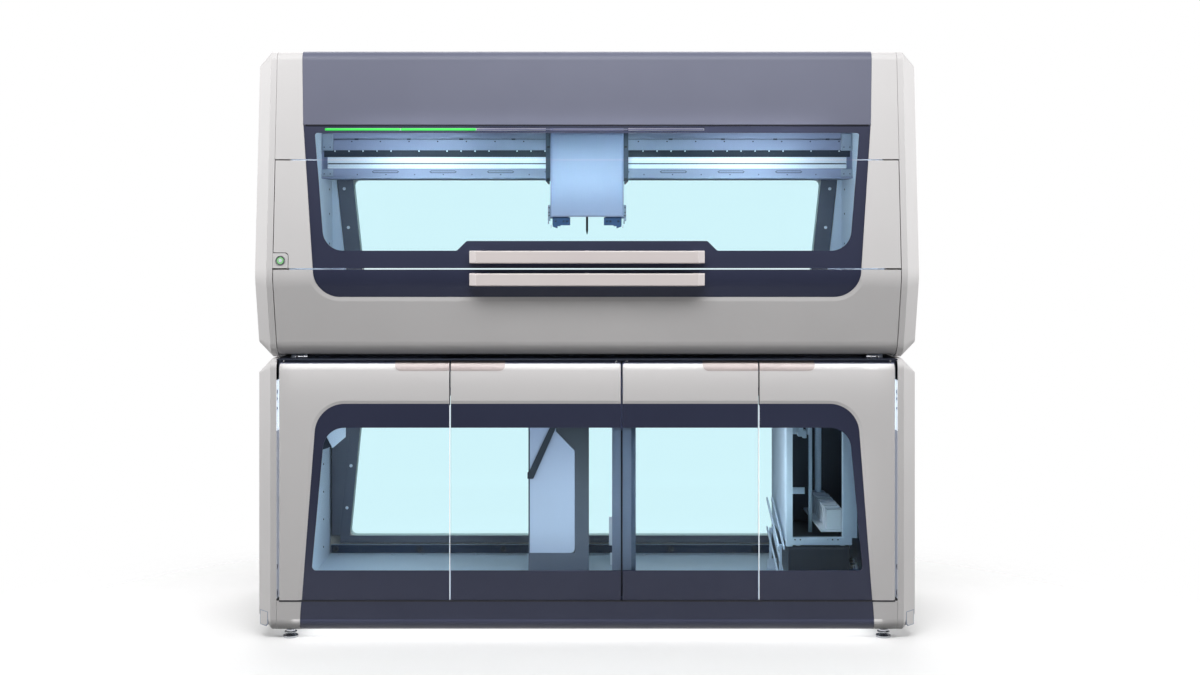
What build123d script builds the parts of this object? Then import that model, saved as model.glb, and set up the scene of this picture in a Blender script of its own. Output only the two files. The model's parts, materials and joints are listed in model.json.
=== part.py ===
from build123d import *
import os
from math import cos, radians, sin, tan

# A two-tier liquid handling robot: an enclosed pipetting deck on a storage cabinet.
# Millimetres.  X to the right, Y to the back, Z up, origin under the middle of the box
# that holds the whole machine.

# ---- overall sizes ----
overall_width = 2132.0
body_depth = 860.0          # nose of the front to the back covers
handle_reach = 36.0         # the handles stand this far in front of the nose
header_depth = 150.0        # behind the nose, where the header's skin meets the roof

# ---- clearances ----
fit = 0.05                  # radial clearance of a pin or rod in its bore
weld = 0.1                  # hairline between members that are welded or screwed together
seam = 1.0                  # joint between skins that stay put
slide_gap = 0.3             # clearance between a carriage and its rail
swing_seam = 5.0            # open joint where a panel swings away

# ---- heights, from the floor up and then from joint to joint across the front ----
foot_height = 26.0
fascia_top = 125.6
door_top = 898.0
door_head_gap = 6.0         # doors to the top of the cabinet
tier_gap = 11.0             # cabinet to enclosure
cover_drop = 7.0            # the upper side covers hang a little lower
flap_height = 281.0
shield_height = 349.0
strip_height = 113.0        # the fixed window strip, under the header
header_height = 242.0

# ---- side view of the upper enclosure ----
shield_lean = 6.1           # degrees from upright
flap_lean = 16.0
crown_radius = 34.0
nose_radius = 150.0
curl_radius = 64.0
sharpest = 2.0              # least corner radius of an outline moved inward

# ---- side view of the cabinet ----
door_setback = 60.0         # doors behind the nose
door_crown = 30.0
fascia_curl = 40.0

# ---- covers, sheets and panes ----
side_cover_depth = 65.0
cover_bevel = 46.0
sheet = 4.0
pane_recess = 3.0           # coloured panes sit this far below the skins
pane = 5.0
glass = 4.0
lap = 15.0                  # a skin reaches this far behind a pane
glass_lap = 10.0            # a glass reaches this far behind its border
bevel_width = 10.0          # sloping lip round the doors' panes
flap_lip_width = 14.0

# ---- windows: margins from the sides of the machine, heights and corner radii ----
slate_margin_top = 146.0
slate_margin_bottom = 154.0
shield_margin_bottom = 193.0
insert_margin_bottom = 200.0
insert_rise = 191.0         # foot of the flap's pane above the foot of the flap
insert_radius = 84.0
window_drop = 26.0          # top of the upper window below the header
window_sill = 58.0          # bottom of the upper window above the shield's lower edge
window_margin_top = 190.5
window_margin_bottom = 228.0
window_radius = 66.0
window_step_height = 31.0   # the sill is raised behind the handle
window_step_half = 384.0
step_radius = 12.0
brow_radius = 8.0
border_drop = 138.0         # below the top of the doors
border_margin_top = 195.0
border_margin_bottom = 139.0
border_radius = 97.0
cabinet_window_drop = 77.4  # below the top of the border
cabinet_window_bottom = 222.0
cabinet_window_margin_top = 220.0
cabinet_window_margin_bottom = 178.0
cabinet_window_radius = 70.0
cabinet_window_foot_radius = 13.0

# ---- handles and grips ----
handle_half = 373.0
handle_height = 40.0
handle_bevel = 22.0
handle_wall = 14.0
handle_web = 14.0
handle_rounding = 4.0
shield_handle_rise = 38.0   # middle of each handle above and below the joint
flap_handle_drop = 33.5
grip_height = 31.0
grip_radius = 18.0
grip_depth = 16.0
grip_proud = 0.6
left_grip_edges = (-619.0, -264.0)
right_grip_edges = (373.0, 734.0)

# ---- doors ----
door_thickness = 24.0
door_skin = 5.0
left_seam = -441.5
right_seam = 553.5
post_seam = 112.0
outer_gap = 8.0
door_seam = 5.0
post_gap = 6.0
pivot_depth = 13.0          # pivot behind the door's face
pivot_inset = 14.0          # pivot from the door's hinge edge
hinge_edge_radius = 6.0
pin_radius = 3.0
door_stile = 28.0
door_rail = 60.0

# ---- status light: a row of equal segments in the window strip ----
light_start = 69.0          # from the left end of the strip
light_length = 244.0
light_count = 5
light_drop = 10.5           # top of the light below the header
light_height = 8.0
light_depth = 6.0

# ---- power button ----
button_plate_size = 48.0
button_plate_corner = 13.0
button_radius = 13.0
bezel_radius = 16.0
bezel_height = 1.5
button_sink = 1.0
button_length = 7.0
button_travel = 2.5
button_plate_thickness = 14.0
button_arm_rise = 8.0
button_arm_height = 28.0
button_arm_reach = 70.0

# ---- frames ----
tube = 40.0
tube_wall = 3.0
base_bottom = 70.0
side_plate_inset = 48.0     # the upper side frames, inside the covers' joint
post_setback = 35.0         # front posts behind the door faces
post_width = 52.0
post_depth = 50.0
post_lip = 14.0
rear_wall = 40.0            # depth of the hollow rear panels
side_frame_inset = 34.0
rib_gap = 5.0
rib = 8.0
shield_pivot_depth = 10.0
shield_pivot_drop = 20.0
ear_radius = 6.0
flap_lobe_radius = 14.0
flap_swing_room = 10.0
top_return = 24.0

# ---- feet ----
foot_inset = 39.0
foot_front_setback = 100.0
foot_back_setback = 60.0
foot_pad_radius = 24.0
foot_pad_height = 13.0
foot_pad_edge = 6.0
foot_stem_radius = 8.0

# ---- deck ----
deck_rise = 106.0           # above the top of the cabinet
deck_thickness = 10.0
deck_front = 150.0
deck_beam = 70.0
deck_beam_width = 40.0
deck_end_gap = 3.0
deck_beam_front = 190.0
deck_beam_back = 820.0
track_pitch = 45.0
track_width = 8.0
track_depth = 4.0
tier_foot_inset = 23.0
tier_foot_front = 212.0
tier_foot_back = 760.0
tier_foot_radius = 22.0
dock_inset = 13.0
dock_setback = 125.0
dock_radius = 25.0
dock_height = 10.0

# ---- rear windows ----
rear_window_drop = 151.0    # top of the upper rear window below the header
rear_window_sill = 30.0     # and its bottom above the deck
rear_window_margin_top = 190.0
rear_window_margin_bottom = 240.0
rear_cabinet_window_drop = 204.0
rear_cabinet_window_bottom = 175.6
rear_cabinet_window_margin_top = 228.0
rear_cabinet_window_margin_bottom = 178.0
rear_window_radius = 20.0
rail_height = 30.0

# ---- bridge, arm and probe ----
beam_front = 600.0          # behind the nose
beam_depth = 150.0
beam_height = 163.0
beam_rise = 10.0            # top of the beam above the header's lower edge
beam_wall = 6.0
beam_face_wall = 12.0
beam_lip_reach = 10.0
beam_lip_height = 7.0
beam_groove_depth = 6.0
beam_grooves = ((20.0, 24.0), (61.0, 68.0))     # below the top of the beam
upper_rail_span = (53.0, 76.0)                  # above the foot of the beam
lower_rail_span = (36.0, 50.0)
rail_proud = 12.0
rail_end_gap = 23.0
rail_chamfer = 2.0
runner_edges = (48.0, 112.0)
runner_height = 17.0
hook_half = 100.0
hook_height = 16.0
hook_reach = 50.0
arm_half = 138.0
arm_height = 217.0
arm_rise = 42.0             # top of the arm above the header's lower edge
arm_front = 240.0
arm_wall = 5.0
carriage_half = 120.0
carriage_plate = 16.0
carriage_drop = 10.0        # top of the carriage below the top of the arm
carriage_height = 200.0
cover_half = 121.5
cover_front = 200.0
cover_rise = 4.0
cover_height = 341.0
cover_radius = 8.0
cover_recess = 5.0
recess_size = 150.0         # plain square recess in the cover
recess_drop = 54.0          # its top below the top of the arm
recess_radius = 5.0
y_rail_half = 16.0
y_rail_height = 14.0
y_rail_start = 10.0
channel_half = 115.0
channel_front = 215.0
channel_back = 325.0
channel_drop = 364.0        # feet of the channel below the top of the arm
channel_leg = 62.0          # inner face of each leg
bridge_drop = 160.0
bridge_height = 60.0
socket_half = 25.0
socket_drop = 334.0
column_half = 30.0
column_depth = 40.0
column_hook = 9.0
probe_y = 262.0
probe_drop = 60.0           # top of the probe below the top of the arm
probe_length = 335.0
probe_radius = 9.0
needle_radius = 3.7
needle_length = 58.0
needle_point = 12.0

# ---- waste unit ----
waste_left = -200.0
waste_right = 6.5
waste_front = 335.0
waste_back = 700.0
bin_right = -42.0
bin_bottom = 219.0
bin_head_gap = 20.0
bin_notch_low = 567.0
bin_notch_high = 632.0
bin_notch_x = -106.0
bin_corner = 14.0
bar_low = 473.0
bar_high = 700.0
bar_run = 101.0             # how far the leaning bar goes across
bar_width = 20.0
bar_thickness = 10.0
chute_width = 76.0
chute_depth = 260.0

# ---- stacker ----
stacker_side_gap = 52.0     # from the cabinet's side wall
stacker_width = 230.0
stacker_front = 250.0
stacker_back = 690.0
stacker_base_top = 259.0
stacker_base_gap = 25.0
stacker_base_radius = 10.0
corner_post_width = 21.0
corner_post_depth = 22.0
corner_post_gap = 7.0       # the post stands out beside the base
post_channel = 3.0
side_panel_setback = 83.0
crossbar_low = 264.0
crossbar_high = 288.0
crossbar_depth = 20.0
crossbar_end_gap = 17.0
top_crossbar = 24.0
strut_width = 14.0
strut_depth = 6.0
wedge_width = 47.0
wedge_depth = 26.0
lift_margins = (30.0, 50.0)     # the lift's hole inside the stacker, left and right
lift_setbacks = (40.0, 60.0)    # and from its front and back
lift_shelf = 300.0
shelf_thickness = 6.0
shelf_margin = 22.0
nest_count = 5
nest_pitch = 66.0
nest_width = 55.0
nest_depth = 44.0
nest_height = 66.0
nest_inset = 93.0           # from the stacker's right side
nest_first = 300.0          # behind the nose
nest_wall = 3.0
guide_radius = 12.0
guide_inset = 65.5
guide_setback = 660.0
guide_block = 24.0
guide_block_height = 70.0

# ---- places worked out from the sizes above ----
half_width = overall_width / 2
split_x = half_width - side_cover_depth
cabinet_top = door_top + door_head_gap
enclosure_bottom = cabinet_top + tier_gap
cover_bottom = enclosure_bottom - cover_drop
insert_bottom = enclosure_bottom + insert_rise
split_height = enclosure_bottom + flap_height      # between the flap and the shield
strip_bottom = split_height + shield_height        # between the shield and the strip
header_bottom = strip_bottom + strip_height
overall_height = header_bottom + header_height
deck_top = cabinet_top + deck_rise
window_bottom = split_height + window_sill
border_top = door_top - border_drop
window_top = header_bottom - window_drop
side_plate_x = split_x - side_plate_inset
pan_half = split_x - tube - sheet
front_y = -(body_depth + handle_reach) / 2
nose_y = front_y + handle_reach
back_y = nose_y + body_depth
rear_y = back_y - rear_wall
door_y = nose_y + door_setback
door_back_y = door_y + door_thickness
post_y = door_y + post_setback
rib_x = side_plate_x + sheet + rib_gap
lean = radians(shield_lean)
tuck = radians(flap_lean)
nose_z = split_height - nose_radius * sin(lean)
top_plate_z = cabinet_top - sheet
ring_top = base_bottom + tube
floor_top = ring_top + sheet
skin_end = split_x - swing_seam / 2
shield_low = split_height + swing_seam / 2
shield_high = strip_bottom - 2.0
strip_low = shield_high + 4.0
flap_high = split_height - swing_seam / 2
pane_back = pane_recess + pane
flange_back = pane_back + sheet
pivot_y = door_y + pivot_depth
stacker_right = pan_half - stacker_side_gap
stacker_left = stacker_right - stacker_width
deck_z = deck_top - deck_thickness
crown_back = nose_y + header_depth


def shield_y(z, inset=0.0):
    """Y of the leaning upper front at height z, `inset` below its skin."""
    reach = nose_radius - inset - sin(lean) * (z - nose_z)
    return nose_y + nose_radius - reach / cos(lean)


def flap_y(z, inset=0.0):
    """Y of the flat of the flap at height z, `inset` below its skin."""
    reach = nose_radius - inset + sin(tuck) * (z - nose_z)
    return nose_y + nose_radius - reach / cos(tuck)


def closed_outline(points, radii):
    """A closed face with a rounded corner at each point, 0 for a sharp one."""
    with BuildSketch() as face:
        with BuildLine():
            FilletPolyline(*points, radius=radii, close=True)
        make_face()
    return face.sketch


def upper_view(inset, bottom=enclosure_bottom):
    """Side view (Y, Z) of the upper enclosure, `inset` below its skin."""
    bend = (nose_radius - inset) * (1 / cos(lean) - 1 / cos(tuck)) / (tan(lean) + tan(tuck))
    top = overall_height - inset
    low = bottom + inset
    points = [
        (back_y - inset, top),
        (shield_y(top, inset), top),
        (shield_y(nose_z + bend, inset), nose_z + bend),
        (flap_y(low, inset), low),
        (back_y - inset, low),
    ]
    radii = [max(radius - inset, sharpest) for radius in (crown_radius, nose_radius, curl_radius)]
    return closed_outline(points, [0] + radii + [0])


def upper_cover_view(inset):
    """Side view of an upper side cover."""
    return upper_view(inset, cover_bottom)


def cabinet_view(inset, top=cabinet_top):
    """Side view (Y, Z) of the cabinet, `inset` below its skin."""
    points = [
        (back_y - inset, top - inset),
        (door_y + inset, top - inset),
        (door_y + inset, foot_height + inset),
        (back_y - inset, foot_height + inset),
    ]
    radii = [max(radius - inset, sharpest) for radius in (door_crown, fascia_curl)]
    return closed_outline(points, [0] + radii + [0])


def door_view(inset):
    """Side view of the doors, whose tops lie under the cabinet's top plate."""
    return cabinet_view(inset, door_top)


def drawn_out(view, inset, low_x, high_x):
    """Everything below a depth of a side view, drawn out across X."""
    with BuildPart() as core:
        with BuildSketch(Plane.YZ.offset(low_x)):
            add(view(inset))
        extrude(amount=high_x - low_x)
    return core.part


def layer(view, outer, inner, low_x=-half_width, high_x=half_width):
    """The layer between two depths below the skin of a side view."""
    with BuildPart() as slab:
        with BuildSketch(Plane.YZ.offset(low_x)):
            add(view(outer))
            add(view(inner), mode=Mode.SUBTRACT)
        extrude(amount=high_x - low_x)
    return slab.part


def front_prism(outline, reach=body_depth / 2):
    """A front-view outline (X, Z) taken straight back through the front half."""
    with BuildPart() as bar:
        with BuildSketch(Plane.XZ.offset(-front_y - handle_reach - reach)):
            add(outline)
        extrude(amount=reach + handle_reach)
    return bar.part


def block(low, high):
    """A box between two opposite corners."""
    middle = [(a + b) / 2 for a, b in zip(low, high)]
    size = [b - a for a, b in zip(low, high)]
    return Pos(*middle) * Box(*size, mode=Mode.PRIVATE)


def rod(low, high, radius):
    """A round rod between the centres of its two ends."""
    start = Vector(*low)
    along = Vector(*high) - start
    bar = Cylinder(radius, along.length, align=(Align.CENTER, Align.CENTER, Align.MIN),
                   mode=Mode.PRIVATE)
    return Plane(origin=start, z_dir=along) * bar


def trapezoid(half_top, half_bottom, top, bottom, radii):
    """A front-view outline that is wider at one end; radii run from the top left."""
    points = [(-half_top, top), (half_top, top), (half_bottom, bottom), (-half_bottom, bottom)]
    return closed_outline(points, radii)


def rectangle(low_x, high_x, low_z, high_z, radius=0.0):
    """A front-view rectangle with four equal corners."""
    points = [(low_x, high_z), (high_x, high_z), (high_x, low_z), (low_x, low_z)]
    return closed_outline(points, [radius] * 4)


def block_outline(low_u, high_u, low_v, high_v):
    """A plain rectangle between two corners, in the sketch plane it is added to."""
    middle = ((low_u + high_u) / 2, (low_v + high_v) / 2)
    return Pos(*middle) * Rectangle(high_u - low_u, high_v - low_v, mode=Mode.PRIVATE)


def grown(outline, amount):
    """An outline moved outward by an amount, inward if it is negative."""
    with BuildSketch() as bigger:
        add(outline)
        offset(amount=amount, kind=Kind.INTERSECTION)
    return bigger.sketch


def save(name, shape):
    """Label a finished piece and write it."""
    shape.label = name
    export_step(shape, f"parts/{name}.step")


os.makedirs("parts", exist_ok=True)

# ==== front-view outlines ====

slate_half_top = half_width - slate_margin_top
slate_half_bottom = half_width - slate_margin_bottom
shield_half_bottom = half_width - shield_margin_bottom
insert_half_bottom = half_width - insert_margin_bottom
window_half_top = half_width - window_margin_top
window_half_bottom = half_width - window_margin_bottom
slate_outline = trapezoid(
    slate_half_top, slate_half_bottom, overall_height, header_bottom, [0, 0, 0, 0]
)
shield_outline = trapezoid(
    slate_half_bottom, shield_half_bottom, header_bottom, split_height, [0, 0, 0, 0]
)
insert_outline = trapezoid(
    shield_half_bottom, insert_half_bottom, split_height, insert_bottom,
    [0, 0, insert_radius, insert_radius],
)
border_outline = trapezoid(
    half_width - border_margin_top, half_width - border_margin_bottom, border_top, foot_height,
    [border_radius, border_radius, 0, 0],
)
cabinet_window = trapezoid(
    half_width - cabinet_window_margin_top, half_width - cabinet_window_margin_bottom,
    border_top - cabinet_window_drop, cabinet_window_bottom,
    [cabinet_window_radius] * 2 + [cabinet_window_foot_radius] * 2,
)


def upper_window(grow=0.0):
    """The window over the deck, with its sill raised behind the handle."""
    sill = window_bottom - grow
    step_top = sill + window_step_height
    high = window_top + grow
    foot = window_half_bottom + grow
    brow = window_half_top + grow
    step = window_step_half - grow
    points = [
        (-brow, high), (brow, high), (foot, sill), (step + window_step_height, sill),
        (step, step_top), (-step, step_top), (-step - window_step_height, sill), (-foot, sill),
    ]
    corner = window_radius + grow
    bend = step_radius
    return closed_outline(points, [brow_radius] * 2 + [corner] + [bend] * 4 + [corner])


# ==== feet and cabinet frame ====

with BuildPart() as leveling_foot:
    with BuildSketch(Plane.XZ):
        with BuildLine():
            Polyline(
                (0, 0), (foot_pad_radius, 0), (foot_pad_radius, foot_pad_edge),
                (foot_stem_radius, foot_pad_height), (foot_stem_radius, base_bottom),
                (0, base_bottom), close=True,
            )
        make_face()
    revolve(axis=Axis.Z)
foot_x = split_x - foot_inset
foot_front_y = nose_y + foot_front_setback
foot_back_y = back_y - foot_back_setback
with BuildPart() as leveling_feet:
    for x in (-foot_x, foot_x):
        for y in (foot_front_y, foot_back_y):
            add(Pos(x, y, 0) * leveling_foot.part)
save("leveling_feet", leveling_feet.part)


def tube_along(low, high, axis):
    """A square tube between two opposite corners, hollow along X, Y or Z."""
    inner_low = [a + tube_wall for a in low]
    inner_high = [b - tube_wall for b in high]
    inner_low[axis] = low[axis]
    inner_high[axis] = high[axis]
    return block(low, high) - block(inner_low, inner_high)


frame_back_y = rear_y
front_tube_y = door_y + sheet
top_ring_low = top_plate_z - tube
pivots_x = [
    -split_x + outer_gap + pivot_inset, post_seam - post_gap / 2 - pivot_inset,
    post_seam + post_gap / 2 + pivot_inset, split_x - outer_gap - pivot_inset,
]
with BuildPart() as cabinet_frame:
    add(tube_along((-split_x, front_tube_y, base_bottom),
                   (split_x, front_tube_y + tube, ring_top), 0))
    add(tube_along((-split_x, frame_back_y - tube, base_bottom),
                   (split_x, frame_back_y, ring_top), 0))
    add(tube_along((-split_x, post_y, top_ring_low), (split_x, post_y + tube, top_plate_z), 0))
    add(tube_along((-split_x, frame_back_y - tube, top_ring_low),
                   (split_x, frame_back_y, top_plate_z), 0))
    for side in (-1, 1):
        low_x, high_x = sorted((side * split_x, side * (split_x - tube)))
        add(tube_along((low_x, front_tube_y + tube + weld, base_bottom),
                       (high_x, frame_back_y - tube - weld, ring_top), 1))
        add(tube_along((low_x, post_y + tube + weld, top_ring_low),
                       (high_x, frame_back_y - tube - weld, top_plate_z), 1))
        for y in (post_y, frame_back_y - tube):
            add(tube_along((low_x, y, ring_top + weld), (high_x, y + tube, top_ring_low - weld), 2))
    # pivot holes for the doors
    for x in pivots_x:
        add(rod((x, pivot_y, ring_top - tube_wall * 2), (x, pivot_y, ring_top + sheet),
                pin_radius + fit), mode=Mode.SUBTRACT)
        add(rod((x, pivot_y, top_plate_z - sheet), (x, pivot_y, top_plate_z + sheet),
                pin_radius + fit), mode=Mode.SUBTRACT)
save("cabinet_frame", cabinet_frame.part)

# top plate, with the holes that the waste chute and the stacker's lift work through
with BuildPart() as cabinet_top_plate:
    add(block((-split_x, door_y + sheet / 2, top_plate_z + weld),
              (split_x, back_y - sheet, cabinet_top)))
    chute_x = (waste_left + bin_notch_x) / 2
    chute_y = (nose_y * 2 + waste_front + waste_back) / 2
    chute = block((chute_x - chute_width / 2, chute_y - chute_depth / 2, top_ring_low),
                  (chute_x + chute_width / 2, chute_y + chute_depth / 2, deck_top + sheet))
    lift_hole = block(
        (stacker_left + lift_margins[0], nose_y + stacker_front + lift_setbacks[0], top_ring_low),
        (stacker_right - lift_margins[1], nose_y + stacker_back - lift_setbacks[1],
         deck_top + sheet),
    )
    add(chute, mode=Mode.SUBTRACT)
    add(lift_hole, mode=Mode.SUBTRACT)
    for x in pivots_x:
        add(rod((x, pivot_y, top_plate_z - sheet), (x, pivot_y, cabinet_top + sheet),
                pin_radius + fit), mode=Mode.SUBTRACT)
save("cabinet_top_plate", cabinet_top_plate.part)

# ==== cabinet covers ====


def side_covers(view):
    """The pair of hollow side covers: bevelled outside, open towards the frame."""
    with BuildPart() as covers:
        add(bevelled_block(view, side_cover_depth))
        for inset, depth in ((sheet, side_cover_depth - cover_bevel),
                             (sheet + cover_bevel, side_cover_depth - sheet)):
            with BuildSketch(Plane.YZ.offset(split_x)):
                add(view(inset))
            extrude(amount=depth, mode=Mode.SUBTRACT)
        mirror(about=Plane.YZ)
    return covers.part


def bevelled_block(view, depth):
    """A side view drawn out from the joint with the front, its outer face bevelled."""
    with BuildPart() as cover:
        with BuildSketch(Plane.YZ.offset(split_x)):
            add(view(0))
        extrude(amount=depth - cover_bevel)
        with BuildSketch(Plane.YZ.offset(split_x + depth - cover_bevel)):
            add(view(0))
        with BuildSketch(Plane.YZ.offset(split_x + depth)):
            add(view(cover_bevel))
        loft(ruled=True)
    return cover.part


save("cabinet_side_covers", side_covers(cabinet_view))
save("upper_side_covers", side_covers(upper_cover_view))

# fascia: one skin, coloured in the middle and plain at the ends
fascia_skin = layer(cabinet_view, 0, sheet, -split_x + seam, split_x - seam)
fascia_zone = block((-half_width, front_y, 0), (half_width, door_y + fascia_curl * 0.7, fascia_top))
border_prism = front_prism(border_outline)
with BuildPart() as fascia_center:
    add(fascia_skin & fascia_zone & border_prism)
save("fascia_center", fascia_center.part)
with BuildPart() as fascia_ends:
    add((fascia_skin & fascia_zone) - front_prism(grown(border_outline, seam)))
save("fascia_ends", fascia_ends.part)

# floor pan with its rear rail
with BuildPart() as floor_pan:
    add(block((-pan_half + weld, front_tube_y + tube, ring_top),
              (pan_half - weld, rear_y, floor_top)))
    add(block((-pan_half + weld, rear_y - rail_height / 2, floor_top),
              (pan_half - weld, rear_y, floor_top + rail_height)))
save("floor_pan", floor_pan.part)

with BuildPart() as cabinet_side_walls:
    add(block((pan_half, post_y + tube, ring_top), (pan_half + sheet, rear_y - tube, top_ring_low)))
    mirror(about=Plane.YZ)
save("cabinet_side_walls", cabinet_side_walls.part)

# rear and roof panels: folded trays round the windows, a flat roof, and the panes
rear_window = trapezoid(
    half_width - rear_window_margin_top, half_width - rear_window_margin_bottom,
    header_bottom - rear_window_drop, deck_top + rear_window_sill, [rear_window_radius] * 4,
)
rear_cabinet_window = trapezoid(
    half_width - rear_cabinet_window_margin_top, half_width - rear_cabinet_window_margin_bottom,
    cabinet_top - rear_cabinet_window_drop, rear_cabinet_window_bottom,
    [rear_window_radius] * 4,
)


def rear_tray(low_z, high_z, window):
    """A folded rear panel with a window framed by its own flange."""
    outer = rectangle(-split_x, split_x, low_z, high_z)
    with BuildPart() as tray:
        with BuildSketch(Plane.XZ.offset(-back_y)):
            add(outer)
            add(window, mode=Mode.SUBTRACT)
        extrude(amount=sheet)
        with BuildSketch(Plane.XZ.offset(-rear_y)):
            add(outer)
            add(grown(outer, -sheet), mode=Mode.SUBTRACT)
            add(grown(window, sheet))
            add(window, mode=Mode.SUBTRACT)
        extrude(amount=-rear_wall)
    return tray.part


def rear_pane(window):
    """The pane that closes a rear window, inside its flange."""
    with BuildPart() as sheet_of_glass:
        with BuildSketch(Plane.XZ.offset(-rear_y - sheet)):
            add(window)
        extrude(amount=-glass)
    return sheet_of_glass.part


with BuildPart() as rear_and_roof_panels:
    add(rear_tray(foot_height, top_plate_z, rear_cabinet_window))
    add(rear_tray(enclosure_bottom, overall_height - sheet, rear_window))
    add(block((-split_x + seam, crown_back + seam, overall_height - sheet),
              (split_x - seam, back_y, overall_height)))
save("rear_and_roof_panels", rear_and_roof_panels.part)
with BuildPart() as rear_windows:
    add(rear_pane(rear_cabinet_window))
    add(rear_pane(rear_window))
save("rear_windows", rear_windows.part)

with BuildPart() as center_post:
    post_low_x = post_seam - post_gap
    post_high_x = post_low_x + post_width
    post_back, post_lip_y = post_y + post_depth, post_y + post_depth - sheet
    with BuildSketch(Plane.XY.offset(floor_top)):
        with BuildLine():
            Polyline(
                (post_low_x, post_y), (post_high_x, post_y), (post_high_x, post_back),
                (post_high_x - post_lip, post_back), (post_high_x - post_lip, post_lip_y),
                (post_high_x - sheet, post_lip_y), (post_high_x - sheet, post_y + sheet),
                (post_low_x + sheet, post_y + sheet), (post_low_x + sheet, post_lip_y),
                (post_low_x + post_lip, post_lip_y), (post_low_x + post_lip, post_back),
                (post_low_x, post_back), close=True,
            )
        make_face()
    extrude(amount=top_ring_low - floor_top)
save("center_post", center_post.part)

# ==== doors ====

# the four doors share one wall, border and pane, parted at the seams
everywhere = (-half_width, half_width)
door_wall = layer(door_view, 0, door_thickness)
pane_space = front_prism(border_outline) - drawn_out(door_view, pane_back, *everywhere)
with BuildPart() as pane_lip:
    with BuildSketch(Plane.XZ.offset(-door_y)):
        add(grown(border_outline, bevel_width))
    with BuildSketch(Plane.XZ.offset(-door_y - pane_recess)):
        add(border_outline)
    loft(ruled=True)
door_hollow = drawn_out(door_view, door_skin, *everywhere)
door_low = fascia_top + seam * 2
rail_top = door_low + door_rail
window_prism = front_prism(cabinet_window)
behind_window = front_prism(grown(cabinet_window, glass_lap)) & drawn_out(
    door_view, pane_back, *everywhere)
border_plate = layer(door_view, pane_recess, pane_back) & front_prism(border_outline)
door_glass = layer(door_view, pane_back, pane_back + glass) & front_prism(
    grown(cabinet_window, glass_lap - 0.5))
grip_stock = layer(door_view, -grip_proud, grip_depth)


def door_parts(number, hinge_x, free_x, grip_edges):
    """One door, from its hinge edge to its free edge: panel, border, pane and grip."""
    inward = 1 if free_x > hinge_x else -1
    low_x, high_x = sorted((hinge_x, free_x))
    pivot_x = hinge_x + inward * pivot_inset
    span = block((low_x, front_y, door_low), (high_x, door_back_y, door_top + 1))
    grip_hole = front_prism(rectangle(*grip_edges, door_top - grip_height, door_top + door_crown,
                                      grip_radius))
    stile_x = sorted((hinge_x, hinge_x + inward * door_stile))

    with BuildPart() as panel:
        add(door_wall & span)
        # hollow behind the skin, leaving the ends and the pivot stile solid
        hollow = front_prism(rectangle(low_x + door_stile, high_x - door_stile,
                                       rail_top, door_top - door_crown - sheet))
        add(hollow & door_hollow, mode=Mode.SUBTRACT)
        add(pane_space, mode=Mode.SUBTRACT)
        add(pane_lip.part, mode=Mode.SUBTRACT)
        add(behind_window - block((stile_x[0], front_y, 0), (stile_x[1], 0, door_top)),
            mode=Mode.SUBTRACT)
        add(layer(door_view, pane_back, pane_back + glass)
            & front_prism(grown(cabinet_window, glass_lap)), mode=Mode.SUBTRACT)
        add(grip_hole & layer(door_view, -1, grip_depth), mode=Mode.SUBTRACT)
        for low_z, high_z in ((door_low - 1, door_low + 24), (door_top - 24, door_top + 1)):
            add(rod((pivot_x, pivot_y, low_z), (pivot_x, pivot_y, high_z), pin_radius + fit),
                mode=Mode.SUBTRACT)
        edge = panel.edges().filter_by(Axis.Z).filter_by_position(
            Axis.X, hinge_x - 0.01, hinge_x + 0.01).sort_by(Axis.Y)
        edges = [e for e in edge if e.center().Y < door_y + 1]
        fillet(edges, radius=hinge_edge_radius)
    save(f"door_{number}_panel", panel.part)

    with BuildPart() as border:
        add(border_plate & span)
        add(window_prism, mode=Mode.SUBTRACT)
    save(f"door_{number}_border", border.part)

    with BuildPart() as glazing:
        add(door_glass & span)
    save(f"door_{number}_glass", glazing.part)

    with BuildPart() as grip:
        add(grip_stock & span & grip_hole)
    save(f"door_{number}_grip", grip.part)
    return pivot_x


pivots = [
    door_parts(1, -split_x + outer_gap, left_seam - door_seam / 2, left_grip_edges),
    door_parts(2, post_seam - post_gap / 2, left_seam + door_seam / 2, left_grip_edges),
    door_parts(3, post_seam + post_gap / 2, right_seam - door_seam / 2, right_grip_edges),
    door_parts(4, split_x - outer_gap, right_seam + door_seam / 2, right_grip_edges),
]

# ==== upper enclosure: the frame behind the covers ====

flap_axis_z = enclosure_bottom + curl_radius
flap_axis_y = flap_y(flap_axis_z, curl_radius)
shield_axis_z = shield_high - shield_pivot_drop
shield_axis_y = shield_y(shield_axis_z, shield_pivot_depth)
flap_bay_y = flap_axis_y + curl_radius + flap_swing_room
side_plate_outer = side_plate_x + sheet
frame_front = nose_y + 2 * curl_radius


def lobe(y, z, radius):
    """A disc of the side plate round a pivot."""
    return rod((side_plate_x, y, z), (side_plate_outer, y, z), radius)


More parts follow.
